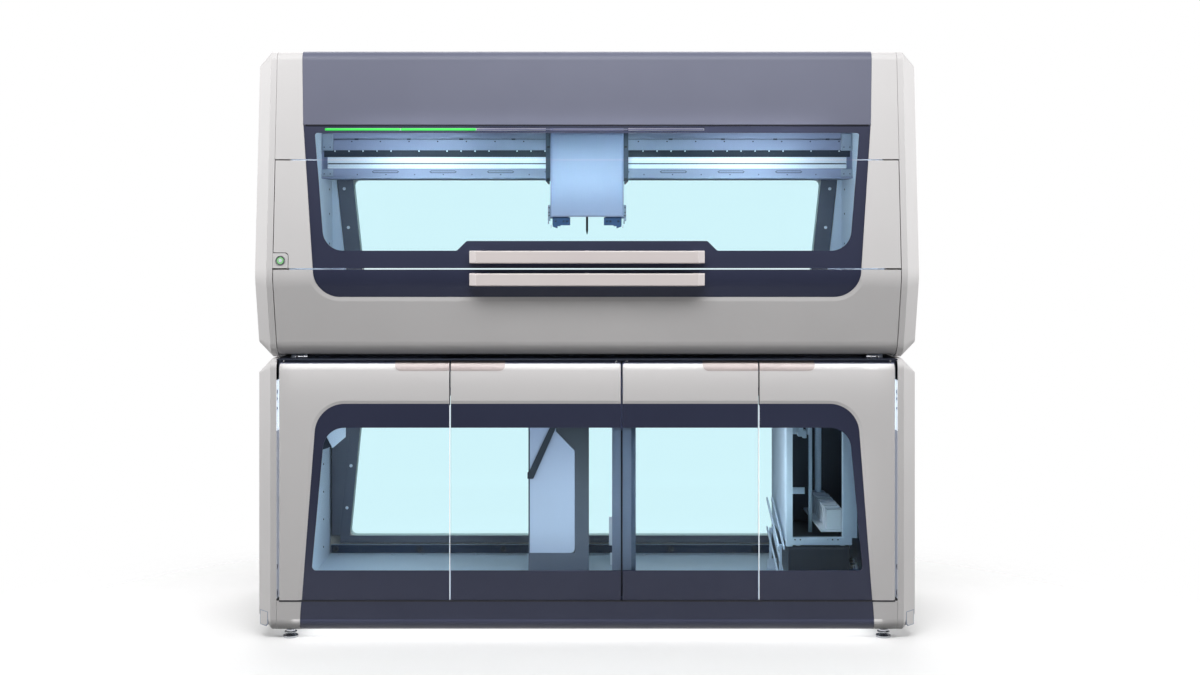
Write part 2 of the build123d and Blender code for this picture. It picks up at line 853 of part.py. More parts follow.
with BuildPart() as upper_side_frames:
    # web: follows the front at a distance, clear of the swinging curl of the flap
    web_span = block((side_plate_x, nose_y, enclosure_bottom),
                     (side_plate_outer, rear_y, overall_height - 2 * sheet))
    add(drawn_out(upper_view, side_frame_inset, side_plate_x, side_plate_outer) & web_span)
    add(block((side_plate_x, nose_y, 0), (side_plate_outer, flap_bay_y, flap_axis_z)),
        mode=Mode.SUBTRACT)
    add(lobe(flap_axis_y, flap_axis_z, flap_lobe_radius))
    # ear that reaches into the shield's end to carry its pivot
    with BuildSketch(Plane.YZ.offset(side_plate_x)):
        with BuildLine():
            ear_root = shield_axis_z - 60
            Polyline(
                (shield_axis_y - ear_radius * 0.6, shield_axis_z - ear_radius * 0.8),
                (shield_axis_y, shield_axis_z),
                (shield_y(shield_axis_z - 10, side_frame_inset), shield_axis_z - 10),
                (shield_y(ear_root, side_frame_inset), ear_root),
                close=True,
            )
        make_face()
    extrude(amount=sheet)
    add(lobe(shield_axis_y, shield_axis_z, ear_radius))
    # folded flanges: the roof rests on the top one, the rear panel on the back one
    add(block((side_plate_x, frame_front, overall_height - 2 * sheet),
              (split_x + 14, rear_y, overall_height - sheet)))
    add(block((side_plate_x, rear_y - sheet, enclosure_bottom + sheet),
              (split_x, rear_y, overall_height - 2 * sheet)))
    add(block((side_plate_x, flap_bay_y, enclosure_bottom),
              (split_x, rear_y, enclosure_bottom + sheet)))
    for y, z in ((flap_axis_y, flap_axis_z), (shield_axis_y, shield_axis_z)):
        add(rod((side_plate_x - 1, y, z), (side_plate_outer + 1, y, z), pin_radius + fit),
            mode=Mode.SUBTRACT)
    mirror(about=Plane.YZ)
save("upper_side_frames", upper_side_frames.part)

# pins: two for the shield, two for the flap, and two for each door
pin_inner = side_plate_x - 2
pin_outer = rib_x + rib + 2
with BuildPart() as hinge_pins:
    for side in (-1, 1):
        for y, z in ((flap_axis_y, flap_axis_z), (shield_axis_y, shield_axis_z)):
            add(rod((side * pin_inner, y, z), (side * pin_outer, y, z), pin_radius))
    for x in pivots:
        add(rod((x, pivot_y, ring_top - tube_wall), (x, pivot_y, door_low + 22), pin_radius))
        add(rod((x, pivot_y, door_top - 22), (x, pivot_y, cabinet_top - 0.5), pin_radius))
save("hinge_pins", hinge_pins.part)

# ==== header, roof and the fixed window strip ====

header_zone = block((-split_x + seam, front_y, header_bottom + seam),
                    (split_x - seam, crown_back, overall_height))
slate_prism = front_prism(slate_outline)
header_skin = layer(upper_view, 0, sheet) & header_zone
with BuildPart() as header_cover:
    add(header_skin & slate_prism)
save("header_cover", header_cover.part)

pane_prism = front_prism(shield_outline)
fixed_zone = block((-split_x + seam, front_y, strip_low),
                   (split_x - seam, crown_back, overall_height))
outside_slate = front_prism(grown(slate_outline, seam / 2))
lap_frame = front_prism(
    trapezoid(slate_half_top - lap, slate_half_bottom - lap, overall_height + 1,
              header_bottom + seam, [0] * 4))
strip_lap = front_prism(
    trapezoid(slate_half_bottom - lap, shield_half_bottom - lap, header_bottom + seam,
              split_height, [0] * 4))
with BuildPart() as header_ends:
    add((layer(upper_view, 0, sheet) & fixed_zone) - outside_slate - pane_prism)
    # a ledge under the slate cover, and behind the ends of the window strip
    ledge_zone = block((-split_x + seam, front_y, header_bottom + seam),
                       (split_x - seam, frame_front - 2, overall_height))
    add((layer(upper_view, sheet, flange_back) & ledge_zone) - lap_frame)
    strip_zone = block((-split_x + seam, front_y, strip_low),
                       (split_x - seam, crown_back, header_bottom + seam))
    add((layer(upper_view, sheet, flange_back) & strip_zone) - strip_lap)
    add(layer(upper_view, 0, pane_back) & pane_prism, mode=Mode.SUBTRACT)
save("header_ends", header_ends.part)

window_hole = front_prism(upper_window())
window_lap = front_prism(upper_window(glass_lap))
strip_room = block((-half_width, front_y, strip_low),
                   (half_width, crown_back, header_bottom - seam))
light_left = light_start - slate_half_bottom
light_right = light_left + light_count * light_length
light_high = header_bottom - light_drop
light_low = light_high - light_height
light_room = block((light_left, front_y, light_low), (light_right, crown_back, light_high))
strip_prism = front_prism(grown(shield_outline, -seam / 2))

with BuildPart() as window_strip:
    add(layer(upper_view, pane_recess, pane_back) & strip_prism & strip_room)
    add(window_hole, mode=Mode.SUBTRACT)
    add(light_room, mode=Mode.SUBTRACT)
save("window_strip", window_strip.part)

with BuildPart() as window_strip_glass:
    add(layer(upper_view, pane_back, flange_back) & window_lap & strip_room)
    add(light_room, mode=Mode.SUBTRACT)
save("window_strip_glass", window_strip_glass.part)

with BuildPart() as light_bar:
    light_stock = layer(upper_view, pane_recess, pane_recess + light_depth)
    for index in range(light_count):
        start = light_left + index * light_length
        add(light_stock & block((start + weld, front_y, light_low + weld),
                                (start + light_length - seam, crown_back, light_high - weld)))
save("light_bar", light_bar.part)

# ==== front shield ====

shield_room = block((-half_width, front_y, shield_low), (half_width, crown_back, shield_high))
button_x = -split_x + seam + button_plate_size / 2
button_low = split_height + swing_seam / 2
button_z = button_low + button_plate_size / 2
notch_edge = button_x + button_plate_size / 2 + seam * 2
notch_top = button_z + button_plate_size / 2 + seam * 2
cheek_lap = front_prism(trapezoid(slate_half_bottom - lap, shield_half_bottom - lap,
                                  header_bottom, split_height, [0] * 4))

with BuildPart() as shield_cheeks:
    end_room = block((-skin_end, front_y, shield_low), (skin_end, crown_back, shield_high))
    add((layer(upper_view, 0, flange_back) & end_room) - cheek_lap)
    for side in (-1, 1):
        low_x, high_x = sorted((side * rib_x, side * (rib_x + rib)))
        add(layer(upper_view, flange_back - 1, door_stile, low_x, high_x)
            & block((low_x, front_y, notch_top + 20), (high_x, crown_back, shield_high)))
    add(layer(upper_view, 0, pane_back) & pane_prism, mode=Mode.SUBTRACT)
    # room for the frame's ears, open above so that the shield can swing over them
    for side in (-1, 1):
        low_x, high_x = sorted((side * (side_plate_x - 3), side * (rib_x - 1)))
        ear_room = block((low_x, front_y, shield_axis_z - 28),
                         (high_x, crown_back, shield_high + 1))
        add(ear_room & drawn_out(upper_view, pane_recess, *everywhere), mode=Mode.SUBTRACT)
        add(rod((side * (rib_x - 2), shield_axis_y, shield_axis_z),
                (side * (pin_outer + 1), shield_axis_y, shield_axis_z), pin_radius + fit),
            mode=Mode.SUBTRACT)
    # corner left free for the power button
    notch = front_prism(rectangle(-half_width, notch_edge, split_height - 60, notch_top,
                                  button_plate_corner))
    add(notch, mode=Mode.SUBTRACT)
save("shield_cheeks", shield_cheeks.part)

with BuildPart() as shield_frame:
    add(layer(upper_view, pane_recess, pane_back) & strip_prism & shield_room)
    add(window_hole, mode=Mode.SUBTRACT)
    # stiffener along the sill
    sill_half = window_half_bottom - window_radius
    add(layer(upper_view, pane_back, pane_back + 12) & block(
        (-sill_half, front_y, shield_low), (sill_half, 0, window_bottom - glass_lap - seam)))
save("shield_frame", shield_frame.part)

with BuildPart() as shield_glass:
    add(layer(upper_view, pane_back, flange_back) & window_lap & shield_room)
save("shield_glass", shield_glass.part)


def handle(middle):
    """A bar with bevelled ends, standing off the pane on its ends and a middle web."""
    front_half = handle_half - handle_bevel
    gap_low = front_y + handle_wall
    with BuildPart() as bar:
        with BuildSketch(Plane.XY.offset(middle - handle_height / 2)):
            with BuildLine():
                Polyline(
                    (-front_half, front_y), (front_half, front_y),
                    (handle_half, front_y + handle_bevel), (handle_half, nose_y + handle_reach),
                    (-handle_half, nose_y + handle_reach), (-handle_half, front_y + handle_bevel),
                    close=True,
                )
            make_face()
        extrude(amount=handle_height)
        rounded = [e for e in bar.edges() if e.center().Y < front_y + handle_bevel]
        fillet(rounded, radius=handle_rounding)
        for side in (-1, 1):
            near, far = side * handle_web / 2, side * (front_half - handle_web)
            low_x, high_x = sorted((near, far))
            add(block((low_x, gap_low, middle - handle_height),
                      (high_x, nose_y + 2 * handle_reach, middle + handle_height)),
                mode=Mode.SUBTRACT)
        add(drawn_out(upper_view, pane_recess, *everywhere), mode=Mode.SUBTRACT)
    return bar.part


save("shield_handle", handle(split_height + shield_handle_rise))
save("flap_handle", handle(split_height - flap_handle_drop))

# ==== front flap ====

flap_room = block((-skin_end, front_y, enclosure_bottom - 1), (skin_end, flap_axis_y, flap_high))
insert_prism = front_prism(insert_outline)
# the sloping lip lies in the flat of the flap and runs out at the rounded nose
flap_plane = Plane(origin=(0, flap_y(insert_bottom), insert_bottom), x_dir=(1, 0, 0),
                   z_dir=(0, -cos(tuck), -sin(tuck)))
insert_slope = (split_height - insert_bottom) / cos(tuck)
with BuildPart() as insert_lip:
    for depth in (-1.0, pane_back):
        spread = flap_lip_width * (1 - depth / pane_recess)
        corner = insert_radius + spread
        with BuildSketch(flap_plane.offset(-depth)):
            add(trapezoid(shield_half_bottom + spread, insert_half_bottom + spread,
                          insert_slope, -spread, [0, 0, corner, corner]))
    loft(ruled=True)
insert_rim = front_prism(grown(insert_outline, lap)) - front_prism(grown(insert_outline, -lap))
with BuildPart() as flap_panel:
    add(layer(upper_view, 0, sheet) & flap_room)
    add(layer(upper_view, sheet, flange_back) & flap_room & insert_rim)
    # top edge folded inward
    add(layer(upper_view, sheet, top_return)
        & block((-skin_end, front_y, flap_high - sheet), (skin_end, 0, flap_high)))
    # end ribs reach in to the pivots
    for side in (-1, 1):
        rib_start = side * rib_x if side > 0 else -rib_x - rib
        with BuildSketch(Plane.YZ.offset(rib_start)):
            with BuildLine():
                Polyline(
                    (nose_y - handle_reach, flap_high - sheet),
                    (nose_y + top_return, flap_high - sheet),
                    (flap_axis_y + flap_lobe_radius, flap_axis_z + 4),
                    (flap_axis_y + flap_lobe_radius, flap_axis_z - flap_lobe_radius),
                    (flap_axis_y - 2, enclosure_bottom + sheet),
                    (nose_y - handle_reach, enclosure_bottom + sheet),
                    close=True,
                )
            make_face()
            add(upper_view(sheet), mode=Mode.INTERSECT)
        extrude(amount=rib)
        add(rod((side * (rib_x - 2), flap_axis_y, flap_axis_z),
                (side * (pin_outer + 1), flap_axis_y, flap_axis_z), pin_radius + fit),
            mode=Mode.SUBTRACT)
    add(layer(upper_view, -1, pane_back) & insert_prism, mode=Mode.SUBTRACT)
    add(insert_lip.part, mode=Mode.SUBTRACT)
save("flap_panel", flap_panel.part)

with BuildPart() as flap_insert:
    add(layer(upper_view, pane_recess, pane_back) & front_prism(grown(insert_outline, -seam / 2)))
    add(block((-half_width, front_y, flap_high), (half_width, 0, overall_height)),
        mode=Mode.SUBTRACT)
save("flap_insert", flap_insert.part)

# ==== power button ====

button_plane_y = shield_y(button_z)
button_plane = Plane(origin=(button_x, button_plane_y, button_z), x_dir=(1, 0, 0),
                     z_dir=(0, -cos(lean), sin(lean)))
with BuildPart() as button_plate:
    with BuildSketch(button_plane):
        half_plate = button_plate_size / 2
        add(closed_outline(
            [(-half_plate, half_plate), (half_plate, half_plate),
             (half_plate, -half_plate), (-half_plate, -half_plate)],
            [0, button_plate_corner, 0, 0]))
    extrude(amount=-button_plate_thickness)
    with BuildSketch(button_plane):
        Circle(bezel_radius)
    extrude(amount=bezel_height)
    with BuildSketch(button_plane.offset(bezel_height)):
        Circle(button_radius + fit)
    extrude(amount=-(bezel_height + button_sink + button_length + button_travel + 1),
            mode=Mode.SUBTRACT)
    # arm back to the side frame
    arm_low = button_low + button_arm_rise
    add(block((-side_plate_outer - sheet, button_plane_y + button_plate_thickness - 3, arm_low),
              (-side_plate_outer, button_plane_y + button_arm_reach, arm_low + button_arm_height)))
save("button_plate", button_plate.part)

with BuildPart() as power_button:
    with BuildSketch(button_plane.offset(bezel_height - button_sink)):
        Circle(button_radius)
    extrude(amount=-button_length)
save("power_button", power_button.part)

# ==== deck ====

with BuildPart() as deck_frame:
    add(block((-side_plate_x, nose_y + deck_beam_front, deck_z - deck_beam),
              (side_plate_x, nose_y + deck_beam_back, deck_z)))
    add(block((-side_plate_x + deck_beam_width, nose_y + deck_beam_front + deck_beam_width,
               deck_z - deck_beam - 1),
              (side_plate_x - deck_beam_width, nose_y + deck_beam_back - deck_beam_width,
               deck_z + 1)), mode=Mode.SUBTRACT)
save("deck_frame", deck_frame.part)

deck_half = side_plate_x - deck_end_gap
with BuildPart() as deck_plate:
    add(block((-deck_half, nose_y + deck_front, deck_z),
              (deck_half, nose_y + deck_beam_back - 4, deck_top)))
    with BuildSketch(Plane.XY.offset(deck_top)):
        with Locations((0, nose_y + (deck_front + deck_beam_back) / 2)):
            with GridLocations(track_pitch, 0, int(2 * deck_half / track_pitch), 1):
                Rectangle(track_width, body_depth)
    extrude(amount=-track_depth, mode=Mode.SUBTRACT)
    add(chute, mode=Mode.SUBTRACT)
    add(lift_hole, mode=Mode.SUBTRACT)
save("deck_plate", deck_plate.part)

with BuildPart() as module_feet:
    tier_foot_x, dock_x = side_plate_x - tier_foot_inset, side_plate_x - dock_inset
    for x in (-tier_foot_x, tier_foot_x):
        for y in (tier_foot_front, tier_foot_back):
            add(rod((x, nose_y + y, cabinet_top), (x, nose_y + y, deck_z - deck_beam),
                    tier_foot_radius))
    # docking pads beside the front feet
    for x in (-dock_x, dock_x):
        add(rod((x, nose_y + dock_setback, cabinet_top),
                (x, nose_y + dock_setback, cabinet_top + dock_height), dock_radius))
save("module_feet", module_feet.part)

# ==== bridge, arm and probe ====

beam_face = nose_y + beam_front
beam_back = beam_face + beam_depth
beam_top = header_bottom + beam_rise
beam_bottom = beam_top - beam_height
rail_face = beam_face - rail_proud
rail_half = side_plate_x - rail_end_gap
upper_rail = [beam_bottom + z for z in upper_rail_span]
lower_rail = [beam_bottom + z for z in lower_rail_span]
carriage_back = rail_face - slide_gap
carriage_face = carriage_back - carriage_plate
arm_y = nose_y + arm_front
arm_top = header_bottom + arm_rise
arm_bottom = arm_top - arm_height
arm_ceiling = arm_top - arm_wall

# a box-section beam with a lip under its face and two grooves along it
with BuildPart() as x_beam:
    with BuildSketch(Plane.YZ.offset(-side_plate_x)):
        add(block_outline(beam_face, beam_back, beam_bottom, beam_top))
        add(block_outline(beam_face - beam_lip_reach, beam_face, beam_bottom,
                          beam_bottom + beam_lip_height))
        add(block_outline(beam_face + beam_face_wall, beam_back - beam_wall,
                          beam_bottom + beam_wall, beam_top - beam_wall), mode=Mode.SUBTRACT)
        for drop, end in beam_grooves:
            add(block_outline(beam_face - 1, beam_face + beam_groove_depth,
                              beam_top - end, beam_top - drop), mode=Mode.SUBTRACT)
    extrude(amount=2 * side_plate_x)
save("x_beam", x_beam.part)

with BuildPart() as x_rails:
    for low_z, high_z in (upper_rail, lower_rail):
        with BuildSketch(Plane.YZ.offset(-rail_half)):
            add(block_outline(rail_face, beam_face, low_z, high_z))
            near = [v for v in vertices() if v.Y < rail_face + 1 and v.Z > low_z - 1]
            chamfer(near, length=rail_chamfer)
        extrude(amount=2 * rail_half)
save("x_rails", x_rails.part)

with BuildPart() as x_carriage:
    carriage_top = arm_top - carriage_drop
    add(block((-carriage_half, carriage_face, carriage_top - carriage_height),
              (carriage_half, carriage_back, carriage_top)))
    # runners above the upper rail and below the lower one, and a hook over the beam
    runner_in, runner_out = runner_edges
    for low_x, high_x in ((-runner_out, -runner_in), (runner_in, runner_out)):
        add(block((low_x, carriage_back, upper_rail[1] + slide_gap),
                  (high_x, beam_face - seam, upper_rail[1] + runner_height)))
        add(block((low_x, carriage_back, lower_rail[0] - runner_height),
                  (high_x, beam_face - seam, lower_rail[0] - slide_gap)))
    add(block((-hook_half, carriage_back, beam_top + slide_gap),
              (hook_half, beam_face + hook_reach, beam_top + hook_height)))
save("x_carriage", x_carriage.part)

with BuildPart() as arm_housing:
    add(block((-arm_half, arm_y, arm_bottom), (arm_half, carriage_face, arm_top)))
    add(block((-arm_half + arm_wall, arm_y - 1, arm_bottom - 1),
              (arm_half - arm_wall, carriage_face + 1, arm_ceiling)), mode=Mode.SUBTRACT)
    # flanges behind the cover, and the rail the pipetting channel hangs from
    for side in (-1, 1):
        low_x, high_x = sorted((side * (channel_half + 2), side * (arm_half - arm_wall)))
        add(block((low_x, arm_y, arm_bottom), (high_x, arm_y + sheet, arm_ceiling)))
    add(block((-y_rail_half, arm_y + y_rail_start, arm_ceiling - y_rail_height),
              (y_rail_half, carriage_face, arm_ceiling)))
save("arm_housing", arm_housing.part)

with BuildPart() as arm_cover:
    cover_y = nose_y + cover_front
    cover_high = arm_top + cover_rise
    cover_low = cover_high - cover_height
    add(block((-cover_half, cover_y, cover_low), (cover_half, arm_y, cover_high)))
    shell_edges = [e for e in arm_cover.edges()
                   if e.center().Y < cover_y + 1
                   or (abs(e.center().Z - cover_high) < 1 and abs(e.center().X) > cover_half - 1)]
    fillet(shell_edges, radius=cover_radius)
    add(block((-cover_half + cover_recess, cover_y + cover_recess, cover_low - 1),
              (cover_half - cover_recess, arm_y + 1, cover_high - cover_recess)),
        mode=Mode.SUBTRACT)
    # plain square panel let into the face, with its own floor behind
    high_z = arm_top - recess_drop
    low_z = high_z - recess_size
    frame_half = recess_size / 2 + cover_recess
    add(block((-frame_half, cover_y + cover_recess, low_z - cover_recess),
              (frame_half, cover_y + 2 * cover_recess, high_z + cover_recess)))
    with BuildSketch(Plane.XZ.offset(-cover_y + 1)):
        with Locations((0, (low_z + high_z) / 2)):
            RectangleRounded(recess_size, recess_size, recess_radius)
    extrude(amount=-cover_recess - 1, mode=Mode.SUBTRACT)
save("arm_cover", arm_cover.part)

with BuildPart() as channel_body:
    near_y, far_y = nose_y + channel_front, nose_y + channel_back
    bridge_high = arm_top - bridge_drop
    bridge_low = bridge_high - bridge_height
    channel_low = arm_top - channel_drop
    probe_axis_y = nose_y + probe_y
    add(block((-channel_half, near_y, bridge_low), (channel_half, far_y, bridge_high)))
    for side in (-1, 1):
        low_x, high_x = sorted((side * channel_leg, side * channel_half))
        add(block((low_x, near_y, channel_low), (high_x, far_y, bridge_low)))
    add(block((-socket_half, probe_axis_y - socket_half, arm_top - socket_drop),
              (socket_half, probe_axis_y + socket_half, bridge_low)))
    # column up to the rail under the arm's roof
    rail_low = arm_ceiling - y_rail_height
    add(block((-column_half, far_y - column_depth, bridge_high),
              (column_half, far_y, rail_low + column_hook)))
    add(block((-y_rail_half - slide_gap, far_y - column_depth - 1, rail_low - slide_gap),
              (y_rail_half + slide_gap, far_y + 1, arm_top)), mode=Mode.SUBTRACT)
    add(rod((0, probe_axis_y, channel_low), (0, probe_axis_y, bridge_high + 1),
            probe_radius + fit), mode=Mode.SUBTRACT)
save("channel_body", channel_body.part)

with BuildPart() as probe:
    probe_top = arm_top - probe_drop
    probe_tip = probe_top - probe_length
    shoulder = probe_tip + needle_length
    with BuildSketch(Plane.XZ.offset(-probe_axis_y)):
        with BuildLine():
            Polyline(
                (0, probe_tip), (1, probe_tip), (needle_radius, probe_tip + needle_point),
                (needle_radius, shoulder), (probe_radius, shoulder + probe_radius - needle_radius),
                (probe_radius, probe_top - 2), (probe_radius - 2, probe_top), (0, probe_top),
                close=True,
            )
        make_face()
    revolve(axis=Axis((0, probe_axis_y, 0), (0, 0, 1)))
save("probe", probe.part)

# ==== waste unit ====

waste_y, waste_end = nose_y + waste_front, nose_y + waste_back
with BuildPart() as waste_housing:
    add(block((waste_left, waste_y, floor_top), (waste_right, waste_end, top_plate_z)))
    add(block((waste_left + sheet, waste_y - 1, bin_bottom),
              (waste_right - sheet, waste_end - sheet, top_plate_z + 1)), mode=Mode.SUBTRACT)
    # inner wall beside the bin, and the face that follows the bin's cut corner
    add(block((bin_right + seam, waste_y, bin_bottom),
              (bin_right + seam + sheet, waste_end - sheet, bin_notch_low)))
    with BuildSketch(Plane.XZ.offset(-waste_y)):
        with BuildLine():
            Polyline(
                (waste_right, bin_bottom), (waste_right, top_plate_z),
                (bin_notch_x + seam, top_plate_z), (bin_notch_x + seam, bin_notch_high + seam),
                (bin_right + seam, bin_notch_low + seam), (bin_right + seam, bin_bottom),
                close=True,
            )
        make_face()
    extrude(amount=-sheet)
save("waste_housing", waste_housing.part)


bin_top = top_plate_z - bin_head_gap


def bin_outline(inset):
    """Front view (X, Z) of the bin, with its cut corner."""
    low_x, high_x = waste_left + sheet + seam + inset, bin_right - inset
    return closed_outline(
        [(low_x, bin_bottom + inset), (high_x, bin_bottom + inset), (high_x, bin_notch_low),
         (bin_notch_x - inset, bin_notch_high), (bin_notch_x - inset, bin_top + 2 * inset),
         (low_x, bin_top + 2 * inset)],
        [sharpest, bin_corner - inset, bin_corner, sharpest, 0, 0])


with BuildPart() as waste_bin:
    with BuildSketch(Plane.XZ.offset(-waste_y)):
        add(bin_outline(0))
    extrude(amount=waste_y - waste_end + 2 * sheet)
    with BuildSketch(Plane.XZ.offset(-waste_y - sheet)):
        add(bin_outline(sheet))
    extrude(amount=waste_y - waste_end + 4 * sheet, mode=Mode.SUBTRACT)
save("waste_bin", waste_bin.part)

with BuildPart() as waste_bar:
    foot_left = waste_left - seam * 3
    head_left = foot_left + bar_run
    with BuildSketch(Plane.XZ.offset(-waste_y)):
        with BuildLine():
            Polyline(
                (foot_left, bar_low), (foot_left + bar_width, bar_low),
                (head_left + bar_width, bar_high), (head_left, bar_high),
                (foot_left + bar_width / 3, bar_low + bar_width * 4 / 3),
                (foot_left, bar_low + bar_width), close=True,
            )
        make_face()
    extrude(amount=bar_thickness)
save("waste_bar", waste_bar.part)

# ==== stacker ====

stacker_y, stacker_end = nose_y + stacker_front, nose_y + stacker_back
base_right = stacker_right - stacker_base_gap
bar_right = stacker_right - crossbar_end_gap
wedge_left = stacker_right - wedge_width
post_left = stacker_left - corner_post_gap
post_right = post_left + corner_post_width
guide_x, guide_y = stacker_right - guide_inset, nose_y + guide_setback
with BuildPart() as stacker_base:
    add(block((stacker_left, stacker_y, floor_top), (base_right, stacker_end, stacker_base_top)))
    top_front = stacker_base.edges().filter_by(Axis.X).sort_by(Axis.Z)[-2:].sort_by(Axis.Y)[:1]
    fillet(top_front, radius=stacker_base_radius)
save("stacker_base", stacker_base.part)

with BuildPart() as stacker_frame:
    # side panel, grooved front corner post and crossbar on two struts
    add(block((stacker_left, stacker_y + side_panel_setback, stacker_base_top),
              (stacker_left + sheet, stacker_end, top_plate_z)))
    add(block((post_left, stacker_y, stacker_base_top),
              (post_right, stacker_y + corner_post_depth, top_plate_z)))
    add(block((post_left + post_channel, stacker_y + post_channel, stacker_base_top + tube),
              (post_left + 2 * post_channel, stacker_y + corner_post_depth + 1,
               top_plate_z - tube)), mode=Mode.SUBTRACT)
    add(block((post_right, stacker_y, crossbar_low),
              (bar_right, stacker_y + crossbar_depth, crossbar_high)))
    for x in (post_right + strut_width, base_right - 2 * strut_width):
        add(block((x, stacker_y + 2 * strut_depth, stacker_base_top),
                  (x + strut_width, stacker_y + 3 * strut_depth, crossbar_low)))
    # channel-section panel on the right
    add(block((wedge_left, stacker_y, crossbar_high),
              (stacker_right, stacker_y + wedge_depth, top_plate_z)))
    add(block((wedge_left + sheet, stacker_y + sheet, crossbar_high - 1),
              (stacker_right - sheet, stacker_y + wedge_depth + 1, top_plate_z + 1)),
        mode=Mode.SUBTRACT)
    add(block((wedge_left, stacker_y, crossbar_high),
              (bar_right, stacker_y + crossbar_depth, crossbar_high + sheet)))
    # top crossbar and the round post that guides the lift
    add(block((post_right, stacker_y, top_plate_z - top_crossbar),
              (wedge_left, stacker_y + crossbar_depth, top_plate_z)))
    add(rod((guide_x, guide_y, stacker_base_top), (guide_x, guide_y, top_plate_z), guide_radius))
save("stacker_frame", stacker_frame.part)

with BuildPart() as lift_carriage:
    nest_left = stacker_right - nest_inset
    nest_right = nest_left + nest_width
    nest_y = nose_y + nest_first
    shelf_top = lift_shelf + shelf_thickness
    nest_top = shelf_top + nest_height
    add(block((nest_left - shelf_margin, nest_y - shelf_margin / 2, lift_shelf),
              (nest_right, guide_y + guide_block, shelf_top)))
    add(block((guide_x - guide_block, guide_y - guide_block, lift_shelf),
              (guide_x + guide_block, guide_y + guide_block, lift_shelf + guide_block_height)))
    # a row of nests, each with a shallow seat
    for index in range(nest_count):
        y = nest_y + index * nest_pitch
        add(block((nest_left, y, shelf_top), (nest_right, y + nest_depth, nest_top)))
        add(block((nest_left + nest_wall, y + nest_wall, nest_top - nest_wall),
                  (nest_right - nest_wall, y + nest_depth - nest_wall, nest_top + 1)),
            mode=Mode.SUBTRACT)
    add(rod((guide_x, guide_y, lift_shelf - 1),
            (guide_x, guide_y, lift_shelf + guide_block_height + 1), guide_radius + slide_gap),
        mode=Mode.SUBTRACT)
save("lift_carriage", lift_carriage.part)
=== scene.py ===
import json
import math
import bmesh
import bpy
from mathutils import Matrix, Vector


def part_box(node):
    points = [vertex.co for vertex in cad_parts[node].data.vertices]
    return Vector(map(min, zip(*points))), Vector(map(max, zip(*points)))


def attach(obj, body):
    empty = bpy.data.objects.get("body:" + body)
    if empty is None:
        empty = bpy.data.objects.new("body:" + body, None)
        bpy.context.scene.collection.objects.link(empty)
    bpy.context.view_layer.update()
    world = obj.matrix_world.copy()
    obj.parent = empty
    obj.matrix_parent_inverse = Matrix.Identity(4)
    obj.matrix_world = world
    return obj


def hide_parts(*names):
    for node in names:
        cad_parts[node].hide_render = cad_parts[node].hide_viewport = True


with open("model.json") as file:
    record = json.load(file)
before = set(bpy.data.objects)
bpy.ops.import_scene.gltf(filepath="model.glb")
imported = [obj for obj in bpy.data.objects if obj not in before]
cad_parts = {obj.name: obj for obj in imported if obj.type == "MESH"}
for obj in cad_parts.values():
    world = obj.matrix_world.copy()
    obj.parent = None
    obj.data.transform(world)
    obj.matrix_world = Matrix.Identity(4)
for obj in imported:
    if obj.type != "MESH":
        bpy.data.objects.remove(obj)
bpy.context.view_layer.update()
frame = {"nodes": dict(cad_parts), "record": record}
nodes = frame["nodes"]
print("machine loaded,", len(nodes), "nodes")


# colours are picked as 0-255 screen values and turned into light
def tint(red, green, blue):
    light = []
    for value in (red, green, blue):
        v = value / 255
        light.append(v / 12.92 if v <= 0.04045 else ((v + 0.055) / 1.055) ** 2.4)
    return (*light, 1.0)


def newMaterial(name):
    material = bpy.data.materials.new(name)
    material.use_nodes = True
    shader = material.node_tree.nodes["Principled BSDF"]
    return material, shader


def addNode(material, kind, **settings):
    node = material.node_tree.nodes.new(kind)
    for key, value in settings.items():
        if key in node.inputs:
            node.inputs[key].default_value = value
        else:
            setattr(node, key, value)
    return node


def join(material, source, target):
    material.node_tree.links.new(source, target)


def objectPoint(material):
    return addNode(material, "ShaderNodeTexCoord").outputs["Object"]


# soft noise over the object; a stretch above 1 packs it tighter along that axis
def addCloud(material, scale, detail, stretch=(1, 1, 1)):
    place = addNode(material, "ShaderNodeMapping", Scale=stretch)
    join(material, objectPoint(material), place.inputs["Vector"])
    noise = addNode(material, "ShaderNodeTexNoise", Scale=scale, Detail=detail)
    join(material, place.outputs["Vector"], noise.inputs["Vector"])
    return noise.outputs["Fac"]


# blends two colours over a value: each is pure beyond its own place
def addRamp(material, value, colours, places):
    ramp = addNode(material, "ShaderNodeValToRGB")
    for element, colour, place in zip(ramp.color_ramp.elements, colours, places):
        element.position = place
        element.color = tint(*colour)
    join(material, value, ramp.inputs["Fac"])
    return ramp.outputs["Color"]


noiseDetail = {"mottle": 4.0, "smudge": 3.0, "grain": 2.0}
mottlePlaces = (0.35, 0.65)


# two colours mixed by a noise, for paint and plastic that isn't quite even
def mottle(material, shader, first, second, scale, stretch=(1, 1, 1)):
    cloud = addCloud(material, scale, noiseDetail["mottle"], stretch)
    colour = addRamp(material, cloud, (first, second), mottlePlaces)
    join(material, colour, shader.inputs["Base Color"])


# fine grain of sprayed texture paint
def grain(material, shader, scale, depth, strength):
    bump = addNode(material, "ShaderNodeBump", Strength=strength, Distance=depth)
    join(material, addCloud(material, scale, noiseDetail["grain"]), bump.inputs["Height"])
    join(material, bump.outputs["Normal"], shader.inputs["Normal"])


# roughness that wanders between two values, for wiped and handled surfaces
def smudge(material, shader, rough, scale):
    span = addNode(material, "ShaderNodeMapRange")
    span.inputs["To Min"].default_value, span.inputs["To Max"].default_value = rough
    join(material, addCloud(material, scale, noiseDetail["smudge"]), span.inputs["Value"])
    join(material, span.outputs["Result"], shader.inputs["Roughness"])


